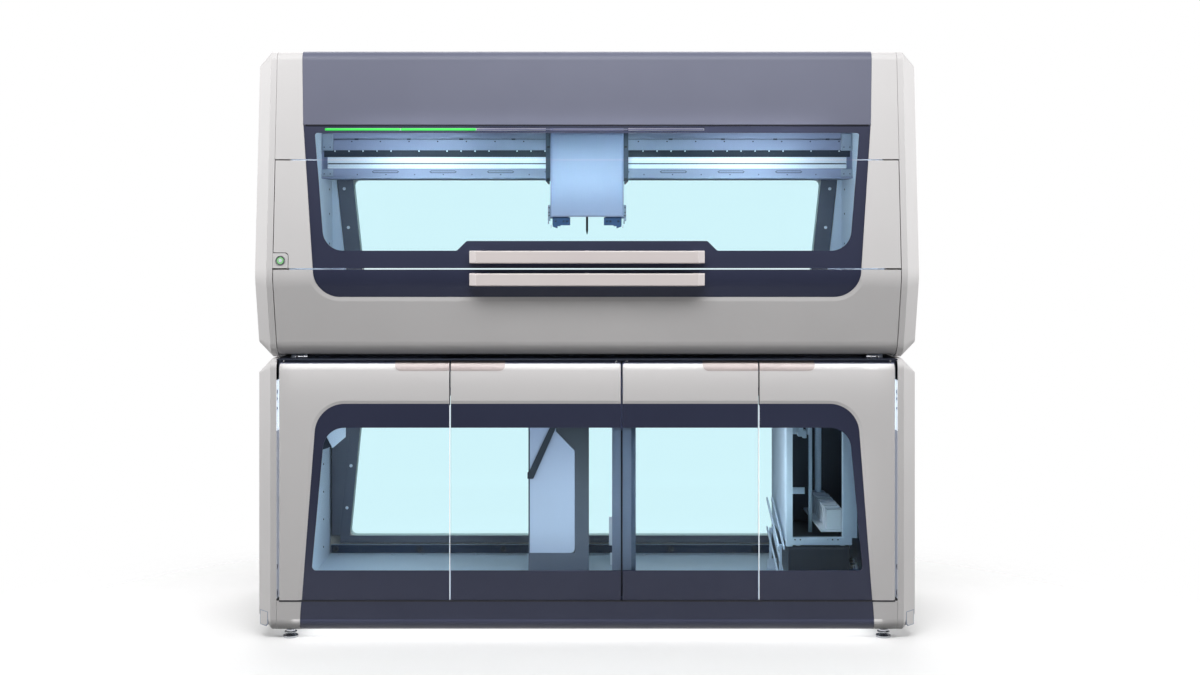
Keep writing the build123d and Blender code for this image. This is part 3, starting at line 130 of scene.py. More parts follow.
texture = {"patches": 2.2, "wiping": 5.0, "rough": (0.42, 0.52), "specular": 0.42,
           "grain": 900.0, "grainDepth": 0.0004, "grainStrength": 0.35}


def texturePaint(name, first, second):
    material, shader = newMaterial(name)
    mottle(material, shader, first, second, texture["patches"])
    smudge(material, shader, texture["rough"], texture["wiping"])
    grain(material, shader, texture["grain"], texture["grainDepth"], texture["grainStrength"])
    shader.inputs["Specular IOR Level"].default_value = texture["specular"]
    return material


# paint outside, and a darker blue-grey on what lies deeper than the skin of the node's front:
# painted shade for the door sides that lie in shadow behind the glass
def paintWithShadedInside(name, outside, inside, nodeName, skin):
    material = texturePaint(name, outside, outside)
    shader = material.node_tree.nodes["Principled BSDF"]
    front = min(corner[1] for corner in nodes[nodeName].bound_box)
    axes = addNode(material, "ShaderNodeSeparateXYZ")
    join(material, objectPoint(material), axes.inputs["Vector"])
    deep = addNode(material, "ShaderNodeMath", operation="GREATER_THAN")
    deep.inputs[1].default_value = front + skin
    join(material, axes.outputs["Y"], deep.inputs[0])
    swap = addNode(material, "ShaderNodeMix", data_type="RGBA")
    swap.inputs["B"].default_value = tint(*inside)
    join(material, deep.outputs["Value"], swap.inputs["Factor"])
    join(material, shader.inputs["Base Color"].links[0].from_socket, swap.inputs["A"])
    join(material, swap.outputs["Result"], shader.inputs["Base Color"])
    return material


plastic = {"patches": 3.5, "wiping": 7.0, "coatRough": 0.06}


def smoothPlastic(name, first, second, rough, coat=0.0):
    material, shader = newMaterial(name)
    mottle(material, shader, first, second, plastic["patches"])
    smudge(material, shader, rough, plastic["wiping"])
    shader.inputs["Coat Weight"].default_value = coat
    shader.inputs["Coat Roughness"].default_value = plastic["coatRough"]
    return material


shadeGrading = {"cloud": 6.0, "cloudShare": 0.06, "places": (0.12, 0.92)}


# plastic whose colour runs from foot to head over the height of one node: painted shade, darker
# towards the head where shadow falls
def shadeGradedPlastic(name, foot, head, nodeName, rough):
    material, shader = newMaterial(name)
    heights = [corner[2] for corner in nodes[nodeName].bound_box]
    axes = addNode(material, "ShaderNodeSeparateXYZ")
    join(material, objectPoint(material), axes.inputs["Vector"])
    rise = addNode(material, "ShaderNodeMapRange")
    rise.inputs["From Min"].default_value = min(heights)
    rise.inputs["From Max"].default_value = max(heights)
    join(material, axes.outputs["Z"], rise.inputs["Value"])
    blend = addNode(material, "ShaderNodeMath", operation="MULTIPLY_ADD")
    join(material, addCloud(material, shadeGrading["cloud"], noiseDetail["smudge"]), blend.inputs[0])
    blend.inputs[1].default_value = shadeGrading["cloudShare"]
    join(material, rise.outputs["Result"], blend.inputs[2])
    colour = addRamp(material, blend.outputs["Value"], (foot, head), shadeGrading["places"])
    join(material, colour, shader.inputs["Base Color"])
    smudge(material, shader, rough, plastic["wiping"])
    return material


brushed = {"patches": 60.0, "wiping": 12.0}


def metal(name, first, second, rough, stretch=(1, 1, 1), metallic=1.0):
    material, shader = newMaterial(name)
    mottle(material, shader, first, second, brushed["patches"], stretch)
    smudge(material, shader, rough, brushed["wiping"])
    shader.inputs["Metallic"].default_value = metallic
    return material


paneLook = {"passed": (0.9, 0.985, 1.0, 1.0), "mirrored": (0.9, 0.97, 1.0, 1.0), "rough": 0.03,
            "bend": 1.22}


# tinted pane: passes the light it doesn't mirror
def pane(name):
    material, shader = newMaterial(name)
    tree = material.node_tree
    tree.nodes.remove(shader)
    clear = addNode(material, "ShaderNodeBsdfTransparent", Color=paneLook["passed"])
    gloss = addNode(material, "ShaderNodeBsdfGlossy", Color=paneLook["mirrored"],
                    Roughness=paneLook["rough"])
    facing = addNode(material, "ShaderNodeFresnel", IOR=paneLook["bend"])
    mix = addNode(material, "ShaderNodeMixShader")
    join(material, facing.outputs["Fac"], mix.inputs["Fac"])
    join(material, clear.outputs["BSDF"], mix.inputs[1])
    join(material, gloss.outputs["BSDF"], mix.inputs[2])
    join(material, mix.outputs["Shader"], tree.nodes["Material Output"].inputs["Surface"])
    return material


litPlastic = {"patches": 30.0, "wiping": 20.0, "rough": (0.3, 0.4)}


# plastic lit from within: body is its shade when it is off
def glow(name, colour, strength, body):
    material, shader = newMaterial(name)
    mottle(material, shader, body, body, litPlastic["patches"])
    smudge(material, shader, litPlastic["rough"], litPlastic["wiping"])
    shader.inputs["Emission Color"].default_value = tint(*colour)
    shader.inputs["Emission Strength"].default_value = strength
    return material


finishes = {
    "light_grey_paint": texturePaint("lightGreyPaint", (214, 212, 212), (209, 207, 207)),
    "slate_paint": texturePaint("slatePaint", (108, 111, 130), (103, 106, 125)),
    "navy_glaze": smoothPlastic("navyGlaze", (46, 51, 76), (42, 47, 72), (0.36, 0.44), coat=0.1),
    "clear_glass": pane("clearGlass"),
    "handle_beige": smoothPlastic("handleBeige", (226, 217, 215), (220, 211, 210), (0.4, 0.48)),
    "interior_paint": texturePaint("interiorPaint", (196, 208, 226), (186, 200, 220)),
    "frame_steel": texturePaint("frameSteel", (150, 160, 178), (140, 150, 170)),
    "deck_aluminium": metal("deckAluminium", (214, 219, 226), (202, 208, 216), (0.28, 0.38),
                            stretch=(1, 18, 1)),
    "rail_steel": metal("railSteel", (224, 228, 238), (214, 219, 231), (0.3, 0.4),
                        stretch=(0.05, 6, 6), metallic=0.2),
    "chrome": metal("chrome", (196, 198, 202), (182, 184, 190), (0.12, 0.2)),
    "light_segments": glow("lightSegments", (150, 154, 180), 0.25, (90, 92, 110)),
    "dark_plastic": smoothPlastic("darkPlastic", (44, 49, 62), (36, 41, 54), (0.38, 0.5)),
    "bin_blue": smoothPlastic("binBlue", (160, 167, 192), (152, 160, 186), (0.42, 0.5)),
    "white_plastic": smoothPlastic("whitePlastic", (226, 230, 240), (216, 221, 234), (0.4, 0.5)),
    "probe_black": smoothPlastic("probeBlack", (30, 32, 42), (24, 26, 36), (0.35, 0.45)),
    # finer shades within a slot
    "lit_green": glow("litGreen", (52, 240, 74), 0.82, (40, 96, 52)),
    "ring_green": glow("ringGreen", (130, 220, 130), 0.22, (140, 196, 140)),
    "beam_paint": texturePaint("beamPaint", (136, 142, 170), (128, 134, 162)),
    "trim_slate": smoothPlastic("trimSlate", (92, 96, 110), (84, 88, 102), (0.4, 0.5)),
    "housing_slate": texturePaint("housingSlate", (66, 74, 92), (58, 66, 84)),
    "rail_blue": smoothPlastic("railBlue", (30, 48, 76), (25, 42, 69), (0.3, 0.4)),
    "hook_blue": smoothPlastic("hookBlue", (62, 84, 122), (54, 76, 114), (0.35, 0.45)),
    # painted light: two glowing finishes that stand in for the light seen through the door joints
    "painted_light_white": glow("paintedLightWhite", (226, 240, 250), 0.5, (236, 240, 244)),
    "painted_light_pale": glow("paintedLightPale", (200, 206, 216), 0.2, (196, 200, 208)),
    "grip_beige": smoothPlastic("gripBeige", (186, 174, 173), (180, 168, 167), (0.4, 0.48)),
    "post_blue": texturePaint("postBlue", (124, 132, 162), (116, 124, 154)),
    # painted shade: door panels darker blue-grey behind their front skin
    "door_shaded_inside": paintWithShadedInside("doorShadedInside", (214, 212, 212), (150, 157, 186),
                             "door_2_panel", skin=0.0085),
    # painted shade: arm cover, waste housing and waste bin darker towards the top
    "cover_painted_shade": shadeGradedPlastic("coverPaintedShade", (150, 155, 184), (108, 118, 156),
                                  "arm_cover", (0.36, 0.44)),
    "housing_painted_shade": shadeGradedPlastic("housingPaintedShade", (84, 90, 106), (26, 29, 36),
                                    "waste_housing", (0.4, 0.5)),
    "bin_painted_shade": shadeGradedPlastic("binPaintedShade", (166, 174, 197), (122, 132, 162),
                                "waste_bin", (0.42, 0.5)),
}

# nodes that take a finer shade than their slot's own finish
shades = {
    # painted shade: the cabinet's top plate and the deck frame take dark finishes for the shadowed
    # joint between the tiers
    "cabinet_top_plate": "dark_plastic", "deck_frame": "housing_slate", "x_beam": "beam_paint",
    "waste_housing": "housing_painted_shade", "waste_bin": "bin_painted_shade", "arm_cover": "cover_painted_shade",
    "center_post": "post_blue", "arm_housing": "housing_slate", "x_carriage": "housing_slate",
    "channel_body": "hook_blue",
}
for number in range(1, 5):
    shades[f"door_{number}_panel"] = "door_shaded_inside"
    shades[f"door_{number}_grip"] = "grip_beige"

for entry in frame["record"]["subparts"]:
    finish = finishes[shades.get(entry["node"], entry["material_slot"])]
    nodes[entry["node"]].data.materials.clear()
    nodes[entry["node"]].data.materials.append(finish)
print("finishes set,", len(finishes))


# shapes, all in metres: a solid is two matching loops of points with walls between them
def addSolid(shape, first, second):
    first = [shape.verts.new(point) for point in first]
    second = [shape.verts.new(point) for point in second]
    shape.faces.new(first)
    shape.faces.new(second[::-1])
    for k in range(len(first)):
        following = (k + 1) % len(first)
        shape.faces.new((first[k], second[k], second[following], first[following]))


# a front-view outline (x, z) given depth from one y to another
def addPlate(shape, outline, nearY, farY):
    addSolid(shape, [(x, nearY, z) for x, z in outline], [(x, farY, z) for x, z in outline])


# a side-view outline (y, z) drawn across from one x to another
def addBar(shape, outline, leftX, rightX):
    addSolid(shape, [(leftX, y, z) for y, z in outline], [(rightX, y, z) for y, z in outline])


def rectangle(left, right, bottom, top):
    return [(left, bottom), (right, bottom), (right, top), (left, top)]


def addBlock(shape, across, depths, heights):
    addPlate(shape, rectangle(*across, *heights), *depths)


# a block that is mirrored from the right side (1) to the left (-1)
def addSideBlock(shape, side, across, depths, heights):
    addBlock(shape, sorted((side * across[0], side * across[1])), depths, heights)


# a turned form: (distance along, radius) steps round an axis from a start point
def addTurned(shape, start, axis, steps, around=28):
    axis = Vector(axis).normalized()
    side = axis.orthogonal().normalized()
    other = axis.cross(side)
    rings = []
    for along, radius in steps:
        centre = Vector(start) + axis * along
        rings.append([shape.verts.new(centre + radius * (side * math.cos(a) + other * math.sin(a)))
                      for a in (math.tau * k / around for k in range(around))])
    for lower, upper in zip(rings, rings[1:]):
        for k in range(around):
            following = (k + 1) % around
            shape.faces.new((lower[k], lower[following], upper[following], upper[k]))
    shape.faces.new(rings[0][::-1])
    shape.faces.new(rings[-1])


# a window-shaped ring: a trapezoid with another cut out of it
def addFrame(shape, inner, outer, nearY, farY):
    rings = [[shape.verts.new((x, y, z)) for x, z in outline]
             for outline in (outer, inner) for y in (nearY, farY)]
    outerNear, outerFar, innerNear, innerFar = rings
    for k in range(4):
        n = (k + 1) % 4
        shape.faces.new((outerNear[k], outerNear[n], innerNear[n], innerNear[k]))
        shape.faces.new((outerFar[n], outerFar[k], innerFar[k], innerFar[n]))
        shape.faces.new((outerNear[n], outerNear[k], outerFar[k], outerFar[n]))
        shape.faces.new((innerNear[k], innerNear[n], innerFar[n], innerFar[k]))


# rim, crown and socket of a screw head, as shares of its height and radius
screwHead = [(0, 1), (0.6, 1), (1, 0.72), (1, 0.42), (0.35, 0.38)]
towardsFront = (0, -1, 0)
upwards = (0, 0, 1)


def addScrew(shape, seat, axis, radius, height):
    addTurned(shape, seat, axis,
              [(along * height, across * radius) for along, across in screwHead], around=16)


# places along a row that is centred on the machine
def evenly(count, pitch):
    return [(k - (count - 1) / 2) * pitch for k in range(count)]


roundedEdge = {"segments": 2, "fromAngle": 38}


# turns a finished bmesh into a piece that rides on a body; bevel is its edges' radius
def makePiece(name, shape, finish, body, bevel=0.0006):
    bmesh.ops.recalc_face_normals(shape, faces=shape.faces)
    mesh = bpy.data.meshes.new(name)
    shape.to_mesh(mesh)
    shape.free()
    mesh.materials.append(finishes[finish])
    for face in mesh.polygons:
        face.use_smooth = True
    piece = bpy.data.objects.new(name, mesh)
    bpy.context.scene.collection.objects.link(piece)
    rounding = piece.modifiers.new("rounding", "BEVEL")
    rounding.width = bevel
    rounding.segments = roundedEdge["segments"]
    rounding.limit_method = "ANGLE"
    rounding.angle_limit = math.radians(roundedEdge["fromAngle"])
    rounding.harden_normals = True
    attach(piece, body)
    return piece


upperLean = math.radians(6.1)   # of the front above the split
rearPaneDepth = 0.004           # from the rear panels' front to their panes
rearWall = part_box("rear_windows")[0][1] - rearPaneDepth
hairline = 0.0001               # gap that keeps faces apart
print("shapes ready")

# status light: five segments side by side, the first two lit
lightBar = {"lit": 2, "count": 5, "dimInset": 0.0016, "seam": 0.0012, "depth": 0.005,
            "swell": 0.0012, "crest": 0.4, "crestDraw": 0.5, "roundStep": 15}


# a long bar with round ends, domed towards the front
def addSegment(shape, left, right, inset):
    low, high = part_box("light_bar")
    bottom, top = low[2] + inset, high[2] - inset
    middle, half = (bottom + top) / 2, (top - bottom) / 2
    outline = []
    for centre, start in ((right - half, -90), (left + half, 90)):
        for degrees in range(start, start + 181, lightBar["roundStep"]):
            angle = math.radians(degrees)
            outline.append((centre + half * math.cos(angle), middle + half * math.sin(angle)))
    far, rim, crest = [], [], []
    for x, z in outline:
        front = low[1] + (z - low[2]) * math.tan(upperLean)
        far.append(shape.verts.new((x, front + lightBar["depth"], z)))
        rim.append(shape.verts.new((x, front, z)))
        draw = lightBar["crestDraw"] * half
        crestX = x + draw if x < (left + right) / 2 else x - draw
        crestZ = middle + lightBar["crest"] * (z - middle)
        crestY = low[1] + (crestZ - low[2]) * math.tan(upperLean) - lightBar["swell"]
        crest.append(shape.verts.new((crestX, crestY, crestZ)))
    for back, front in ((far, rim), (rim, crest)):
        for k in range(len(outline)):
            following = (k + 1) % len(outline)
            shape.faces.new((back[k], back[following], front[following], front[k]))
    shape.faces.new(crest)
    shape.faces.new(far[::-1])


def makeStatusLight():
    low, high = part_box("light_bar")
    length = (high[0] - low[0]) / lightBar["count"]
    lit, dim = bmesh.new(), bmesh.new()
    for k in range(lightBar["count"]):
        left = low[0] + k * length
        right = left + length - lightBar["seam"]
        if k < lightBar["lit"]:
            addSegment(lit, left, right, 0.0)
        else:
            addSegment(dim, left, right, lightBar["dimInset"])
    litPiece = makePiece("litSegments", lit, "lit_green", "base", bevel=0.0002)
    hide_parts("light_bar")
    makePiece("dimSegments", dim, "light_segments", "base", bevel=0.0002)


makeStatusLight()

# power button: a green ring round a domed cap, in a bright bezel; (along, radius) profiles
button = {
    "halfLength": 0.0035,
    "ring": [(-0.0004, 0.0108), (0.0005, 0.0108), (0.0007, 0.0102), (0.0007, 0.0068),
             (0.0005, 0.0062), (-0.0004, 0.0062)],
    "cap": [(-0.0004, 0.0058), (0.0002, 0.0058), (0.0006, 0.00464), (0.0008, 0.00261),
            (0.0009, 0.00058)],
    "bezel": [(-0.0006, 0.0164), (0.0012, 0.0158), (0.0024, 0.0149), (0.0026, 0.0140),
              (0.0018, 0.0134), (-0.0006, 0.0134)],
}


def makeButton():
    low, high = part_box("power_button")
    outward = Vector((0, -math.cos(upperLean), math.sin(upperLean)))
    face = (Vector(low) + Vector(high)) / 2 + outward * button["halfLength"]
    ring, cap, bezel = bmesh.new(), bmesh.new(), bmesh.new()
    addTurned(ring, face, outward, button["ring"], around=40)
    addTurned(cap, face, outward, button["cap"], around=32)
    addTurned(bezel, face, outward, button["bezel"], around=40)
    makePiece("buttonRing", ring, "ring_green", "power_button", bevel=0.0001)
    makePiece("buttonCap", cap, "white_plastic", "power_button", bevel=0.0001)
    makePiece("buttonBezel", bezel, "chrome", "base", bevel=0.0001)


makeButton()

# dark trims round the rear windows, with the screws that hold them
rearTrims = [
    {"name": "upperRearTrim", "halfTop": 0.876, "halfBottom": 0.826, "span": (1.040, 1.507),
     "sides": 0.060, "under": 0.030, "over": 0.014, "screws": (0.22, 0.62, 0.93)},
    {"name": "lowerRearTrim", "halfTop": 0.838, "halfBottom": 0.888, "span": (0.1756, 0.700),
     "sides": 0.034, "under": 0.026, "over": 0.030, "screws": (0.2, 0.5, 0.8)},
]
trimSheet = {"proud": 0.004, "gap": 0.0004, "screwAcross": 0.6, "screwRadius": 0.006,
             "screwHeight": 0.003}


def trapezoid(halfTop, halfBottom, bottom, top):
    return [(-halfTop, top), (halfTop, top), (halfBottom, bottom), (-halfBottom, bottom)]


def makeRearTrim(trim):
    bottom, top = trim["span"]
    sides, under, over = trim["sides"], trim["under"], trim["over"]
    slope = (trim["halfTop"] - trim["halfBottom"]) / (top - bottom)
    inner = trapezoid(trim["halfTop"], trim["halfBottom"], bottom, top)
    outer = trapezoid(trim["halfTop"] + sides + over * slope,
                      trim["halfBottom"] + sides - under * slope, bottom - under, top + over)
    face = rearWall - trimSheet["proud"]
    shape, screws = bmesh.new(), bmesh.new()
    addFrame(shape, inner, outer, face, rearWall - trimSheet["gap"])
    for side in (-1, 1):
        for share in trim["screws"]:
            rise = share * (top - bottom)
            x = side * (trim["halfBottom"] + slope * rise + sides * trimSheet["screwAcross"])
            addScrew(screws, (x, face, bottom + rise), towardsFront,
                     trimSheet["screwRadius"], trimSheet["screwHeight"])
    makePiece(trim["name"], shape, "trim_slate", "base")
    makePiece(trim["name"] + "Screws", screws, "rail_steel", "base", bevel=0.0002)


for trim in rearTrims:
    makeRearTrim(trim)

# plates that line the rear wall from the trims out to the side walls, each with a raised field
rearCorners = [
    {"name": "lowerRearCorners", "innerFoot": 0.921, "innerTop": 0.859, "outer": 0.956,
     "span": (0.1756, 0.840), "finish": "trim_slate", "slot": "dark_plastic"},
    {"name": "upperRearCorners", "innerFoot": 0.888, "innerTop": 0.952, "outer": 0.966,
     "span": (1.040, 1.640), "finish": "interior_paint", "slot": "interior_paint"},
]
# inset from the edge, then front and back, both before the rear wall
cornerLayers = {"plate": (0.0, 0.0022, 0.0004), "field": (0.006, 0.0034, 0.0022)}


def makeRearCorners(corner):
    shape = bmesh.new()
    for side in (-1, 1):
        for inset, near, far in cornerLayers.values():
            bottom, top = corner["span"][0] + inset, corner["span"][1] - inset
            outer = side * (corner["outer"] - inset)
            outline = [(side * (corner["innerFoot"] + inset), bottom), (outer, bottom),
                       (outer, top), (side * (corner["innerTop"] + inset), top)]
            addPlate(shape, outline, rearWall - near, rearWall - far)
    makePiece(corner["name"], shape, corner["finish"], "base", bevel=0.0003)


for corner in rearCorners:
    makeRearCorners(corner)

# rail along the back of the cabinet floor: ridged cover, knobs, and floor screws before it
rearRail = {
    "depth": 0.015, "height": 0.030, "endGap": 0.002, "proud": 0.003, "gap": 0.0003,
    "ridge": (0.009, 0.003), "ridgeProud": 0.0025,
    "knobs": 7, "knobPitch": 0.3125, "knobDrop": 0.014,
    "knob": [(0, 0.011), (0.006, 0.011), (0.009, 0.0088), (0.009, 0.0055), (0.005, 0.00495),
             (0.005, 0.0022)],
    "screwShifts": (0.016, 0.214), "screwDepth": 0.03, "screwRadius": 0.004, "screwHeight": 0.003,
}


def makeRearRail():
    low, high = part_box("floor_pan")
    left, right, top = low[0] + rearRail["endGap"], high[0] - rearRail["endGap"], high[2]
    railFace = high[1] - rearRail["depth"]
    coverFace = railFace - rearRail["proud"]
    floorTop = top - rearRail["height"]
    cover, knobs, screws = bmesh.new(), bmesh.new(), bmesh.new()
    addPlate(cover, rectangle(left, right, floorTop, top), coverFace, railFace - rearRail["gap"])
    ridgeFoot, ridgeHead = (top - drop for drop in rearRail["ridge"])
    addPlate(cover, rectangle(left, right, ridgeFoot, ridgeHead),
             coverFace - rearRail["ridgeProud"], coverFace)
    places = evenly(rearRail["knobs"], rearRail["knobPitch"])
    for x in places:
        addTurned(knobs, (x, coverFace, top - rearRail["knobDrop"]), towardsFront,
                  rearRail["knob"], around=24)
    for x in places[:-1]:
        for shift in rearRail["screwShifts"]:
            addScrew(screws, (x + shift, railFace - rearRail["screwDepth"], floorTop), upwards,
                     rearRail["screwRadius"], rearRail["screwHeight"])
    makePiece("rearRailCover", cover, "rail_blue", "base")
    makePiece("rearRailKnobs", knobs, "dark_plastic", "base", bevel=0.0003)
    makePiece("floorScrews", screws, "rail_steel", "base", bevel=0.0002)


makeRearRail()

# screw heads on the side walls of both tiers: rows of (distance behind, height above)
# the front foot of the cabinet's walls, or the front edge of the deck
wallScrews = {
    "radius": 0.0035, "height": 0.0018, "cabinetSheet": 0.004,
    "upright": [(y, 0.06 + 0.10 * k) for y in (0.097, 0.297, 0.517) for k in range(6)],
    "slanted": [(0.017 + 0.018 * k, 0.19 + 0.027 * k) for k in range(9)],
    "deck": [(y, z) for y in (0.342, 0.562) for z in (0.06, 0.16, 0.27, 0.38, 0.47)],
}


def makeWallScrews():
    shape = bmesh.new()
    wallLow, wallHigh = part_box("cabinet_side_walls")
    deckLow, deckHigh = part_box("deck_frame")
    cabinetWall = wallHigh[0] - wallScrews["cabinetSheet"]
    rows = (
        (cabinetWall, wallLow[1], wallLow[2], wallScrews["upright"] + wallScrews["slanted"]),
        (deckHigh[0], deckLow[1], deckHigh[2], wallScrews["deck"]),
    )
    for side in (-1, 1):
        for wall, front, foot, places in rows:
            for behind, above in places:
                addScrew(shape, (side * wall, front + behind, foot + above), (-side, 0, 0),
                         wallScrews["radius"], wallScrews["height"])
    makePiece("wallScrews", shape, "dark_plastic", "base", bevel=0.0002)


makeWallScrews()
print("enclosure details made")

# folded gusset in the front corner of the left cabinet bay, with the bracket that holds it:
# places are (inwards from the wall, down from the wall's top), depths from the wall's front
gusset = {
    "wallSheet": 0.004, "depths": (0.165, 0.168), "bracketDepths": (0.169, 0.171),
    "plate": [(0.0715, 0.234), (0.0870, 0.208), (0.0870, 0.160), (0.1393, 0.160),
              (0.1393, 0.241), (0.0946, 0.279)],
    "bracket": [(0.0005, 0.192), (0.0713, 0.228), (0.0942, 0.274), (0.0005, 0.304)],
    "flange": [(0.0005, 0.196), (0.0035, 0.196), (0.0035, 0.300), (0.0005, 0.300)],
    "flangeDepths": (0.171, 0.205),
    "screws": [(0.019 + 0.012 * k, 0.248 - 0.008 * (k % 2)) for k in range(5)],
    "screwRadius": 0.0028, "screwHeight": 0.0012,
}


def makeGusset():
    plates, brackets = bmesh.new(), bmesh.new()
    low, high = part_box("cabinet_side_walls")
    wall = low[0] + gusset["wallSheet"]

    def addSheet(shape, outline, depths):
        addPlate(shape, [(wall + inwards, high[2] - down) for inwards, down in outline],
                 low[1] + depths[0], low[1] + depths[1])

    addSheet(plates, gusset["plate"], gusset["depths"])
    addSheet(brackets, gusset["bracket"], gusset["bracketDepths"])
    addSheet(brackets, gusset["flange"], gusset["flangeDepths"])
    screwY = low[1] + gusset["bracketDepths"][0]
    for inwards, down in gusset["screws"]:
        addScrew(brackets, (wall + inwards, screwY, high[2] - down), towardsFront,
                 gusset["screwRadius"], gusset["screwHeight"])
    makePiece("cornerGussets", plates, "interior_paint", "base", bevel=0.0008)
    makePiece("gussetBrackets", brackets, "dark_plastic", "base", bevel=0.0003)


makeGusset()
print("cabinet details made")

# bridge: pins, a dark band, a line with clips, slots and end blocks on the beam's front face;
# screws are (radius, height) and their places (shift along, distance from the nearer edge)
bridge = {
    "faceDepth": 0.010, "reach": 0.945, "proud": 0.0008, "band": (0.0615, 0.0855),
    "pinPitch": 0.0503, "pinDrop": 0.0645, "pin": [(0, 0.0026), (0.002, 0.0026), (0.003, 0.00156)],
    "pinGroup": 14, "pinGaps": (5, 7, 12),
    "screwPitch": 0.103, "bandScrew": (0.0028, 0.0008),
    "upperScrew": (0.0026, 0.0009), "upperScrewPlace": (0.03, 0.030),
    "lowerScrew": (0.0022, 0.0007), "lowerScrewPlace": (0.05, 0.014),
    "upperLine": (0.0225, 0.0205), "clipPitch": 0.188, "clipStart": 0.110, "clipLength": 0.014,
    "clipSpan": (0.0245, 0.0195), "clipProud": 0.002,
    "railGroove": (0.0160, 0.0188), "grooveEnd": 0.002,
    "slotPitch": 0.207, "slotSpan": (0.0285, 0.0195), "slotHalf": 0.049, "slotWall": 0.0022,
    "slotPoint": 0.006,
    "endBlock": (0.912, 0.9515), "blockSpans": ((0.100, 0.160), (0.004, 0.033)),
    "blockDepth": 0.010, "blockGap": 0.0006, "fieldInset": 0.004, "fieldProud": 0.0016,
    "blockScrew": (0.0022, 0.001), "blockScrewPlace": (0.009, 0.012),
}


def makeBeamPins(face, top):
    pins = bmesh.new()
    reach, pitch = bridge["reach"], bridge["pinPitch"]
    for k, x in enumerate(evenly(int(2 * reach / pitch), pitch)):
        if k % bridge["pinGroup"] not in bridge["pinGaps"]:
            addTurned(pins, (x, face - bridge["proud"] - hairline, top - bridge["pinDrop"]),
                      towardsFront, bridge["pin"], around=14)
    makePiece("beamPins", pins, "white_plastic", "base", bevel=0.0002)


# the band along the pins, with rows of screws on it, above it and near the beam's foot
def makeBeamBand(face, top, foot, dark):
    band = bmesh.new()
    reach, near, pitch = bridge["reach"], face - bridge["proud"], bridge["screwPitch"]
    over, under = (top - drop for drop in bridge["band"])
    addPlate(band, rectangle(-reach, reach, under, over), near, face - hairline)
    upperShift, upperDrop = bridge["upperScrewPlace"]
    lowerShift, lowerRise = bridge["lowerScrewPlace"]
    for x in evenly(int(2 * reach / pitch), pitch):
        addScrew(dark, (x, near, (under + over) / 2), towardsFront, *bridge["bandScrew"])
        addScrew(dark, (x + upperShift, face, top - upperDrop), towardsFront,
                 *bridge["upperScrew"])
        addScrew(dark, (x + lowerShift, face, foot + lowerRise), towardsFront,
                 *bridge["lowerScrew"])
    makePiece("beamBand", band, "dark_plastic", "base", bevel=0.0002)


# thin line with clips above the band, and the dark groove between the two rails
def addBeamLines(face, top, dark):
    reach, near = bridge["reach"], face - bridge["proud"]
    lineFoot, lineHead = (top - drop for drop in bridge["upperLine"])
    addPlate(dark, rectangle(-reach, reach, lineFoot, lineHead), near, face - hairline)
    clipFoot, clipHead = (top - drop for drop in bridge["clipSpan"])
    for k in range(int(2 * reach / bridge["clipPitch"])):
        x = k * bridge["clipPitch"] - reach + bridge["clipStart"]
        addBlock(dark, (x, x + bridge["clipLength"]),
                 (near - bridge["clipProud"], near - hairline), (clipFoot, clipHead))
    railLow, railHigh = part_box("x_rails")
    left, right = railLow[0] + bridge["grooveEnd"], railHigh[0] - bridge["grooveEnd"]
    grooveFoot, grooveHead = (railLow[2] + rise for rise in bridge["railGroove"])
    addPlate(dark, rectangle(left, right, grooveFoot, grooveHead),
             railLow[1] - bridge["proud"], railLow[1] - hairline)


# long slots in the face below the rails, each a raised rim with pointed ends
def addBeamSlots(face, foot, dark):
    slotTop, slotFoot = (foot + z for z in bridge["slotSpan"])
    half, wall, point = bridge["slotHalf"], bridge["slotWall"], bridge["slotPoint"]
    middle = (slotTop + slotFoot) / 2
    count = int(2 * (bridge["reach"] - half) / bridge["slotPitch"])
    for x in evenly(count, bridge["slotPitch"]):
        for z, sign in ((slotTop, 1), (slotFoot, -1)):
            inner = z - sign * wall
            rim = [(x - half + point, z), (x + half - point, z), (x + half, middle),
                   (x + half - wall, middle), (x + half - point - wall, inner),
                   (x - half + point + wall, inner), (x - half + wall, middle),
                   (x - half, middle)]
            addPlate(dark, rim, face - bridge["proud"], face - hairline)


def makeEndBlocks(face, foot, dark):
    blocks = bmesh.new()
    near, far = bridge["endBlock"]
    blockFace = face - bridge["blockDepth"]
    fieldFace = blockFace - bridge["fieldProud"]
    inset = bridge["fieldInset"]
    screwInset, screwRise = bridge["blockScrewPlace"]
    for side in (-1, 1):
        for low, high in bridge["blockSpans"]:
            addSideBlock(blocks, side, (near, far), (blockFace, face - bridge["blockGap"]),
                         (foot + low, foot + high))
            addSideBlock(blocks, side, (near + inset, far - inset), (fieldFace, blockFace),
                         (foot + low + inset, foot + high - inset))
            for x in (near + screwInset, far - screwInset):
                addScrew(dark, (side * x, fieldFace, foot + low + screwRise), towardsFront,
                         *bridge["blockScrew"])
    makePiece("beamEndBlocks", blocks, "frame_steel", "base", bevel=0.0005)


def makeBridgeDetails():
    low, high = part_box("x_beam")
    face = low[1] + bridge["faceDepth"]
    foot, top = low[2], high[2]
    dark = bmesh.new()
    makeBeamPins(face, top)
    makeBeamBand(face, top, foot, dark)
    addBeamLines(face, top, dark)
    addBeamSlots(face, foot, dark)
    makeEndBlocks(face, foot, dark)
    makePiece("beamSlots", dark, "dark_plastic", "base", bevel=0.0001)


makeBridgeDetails()

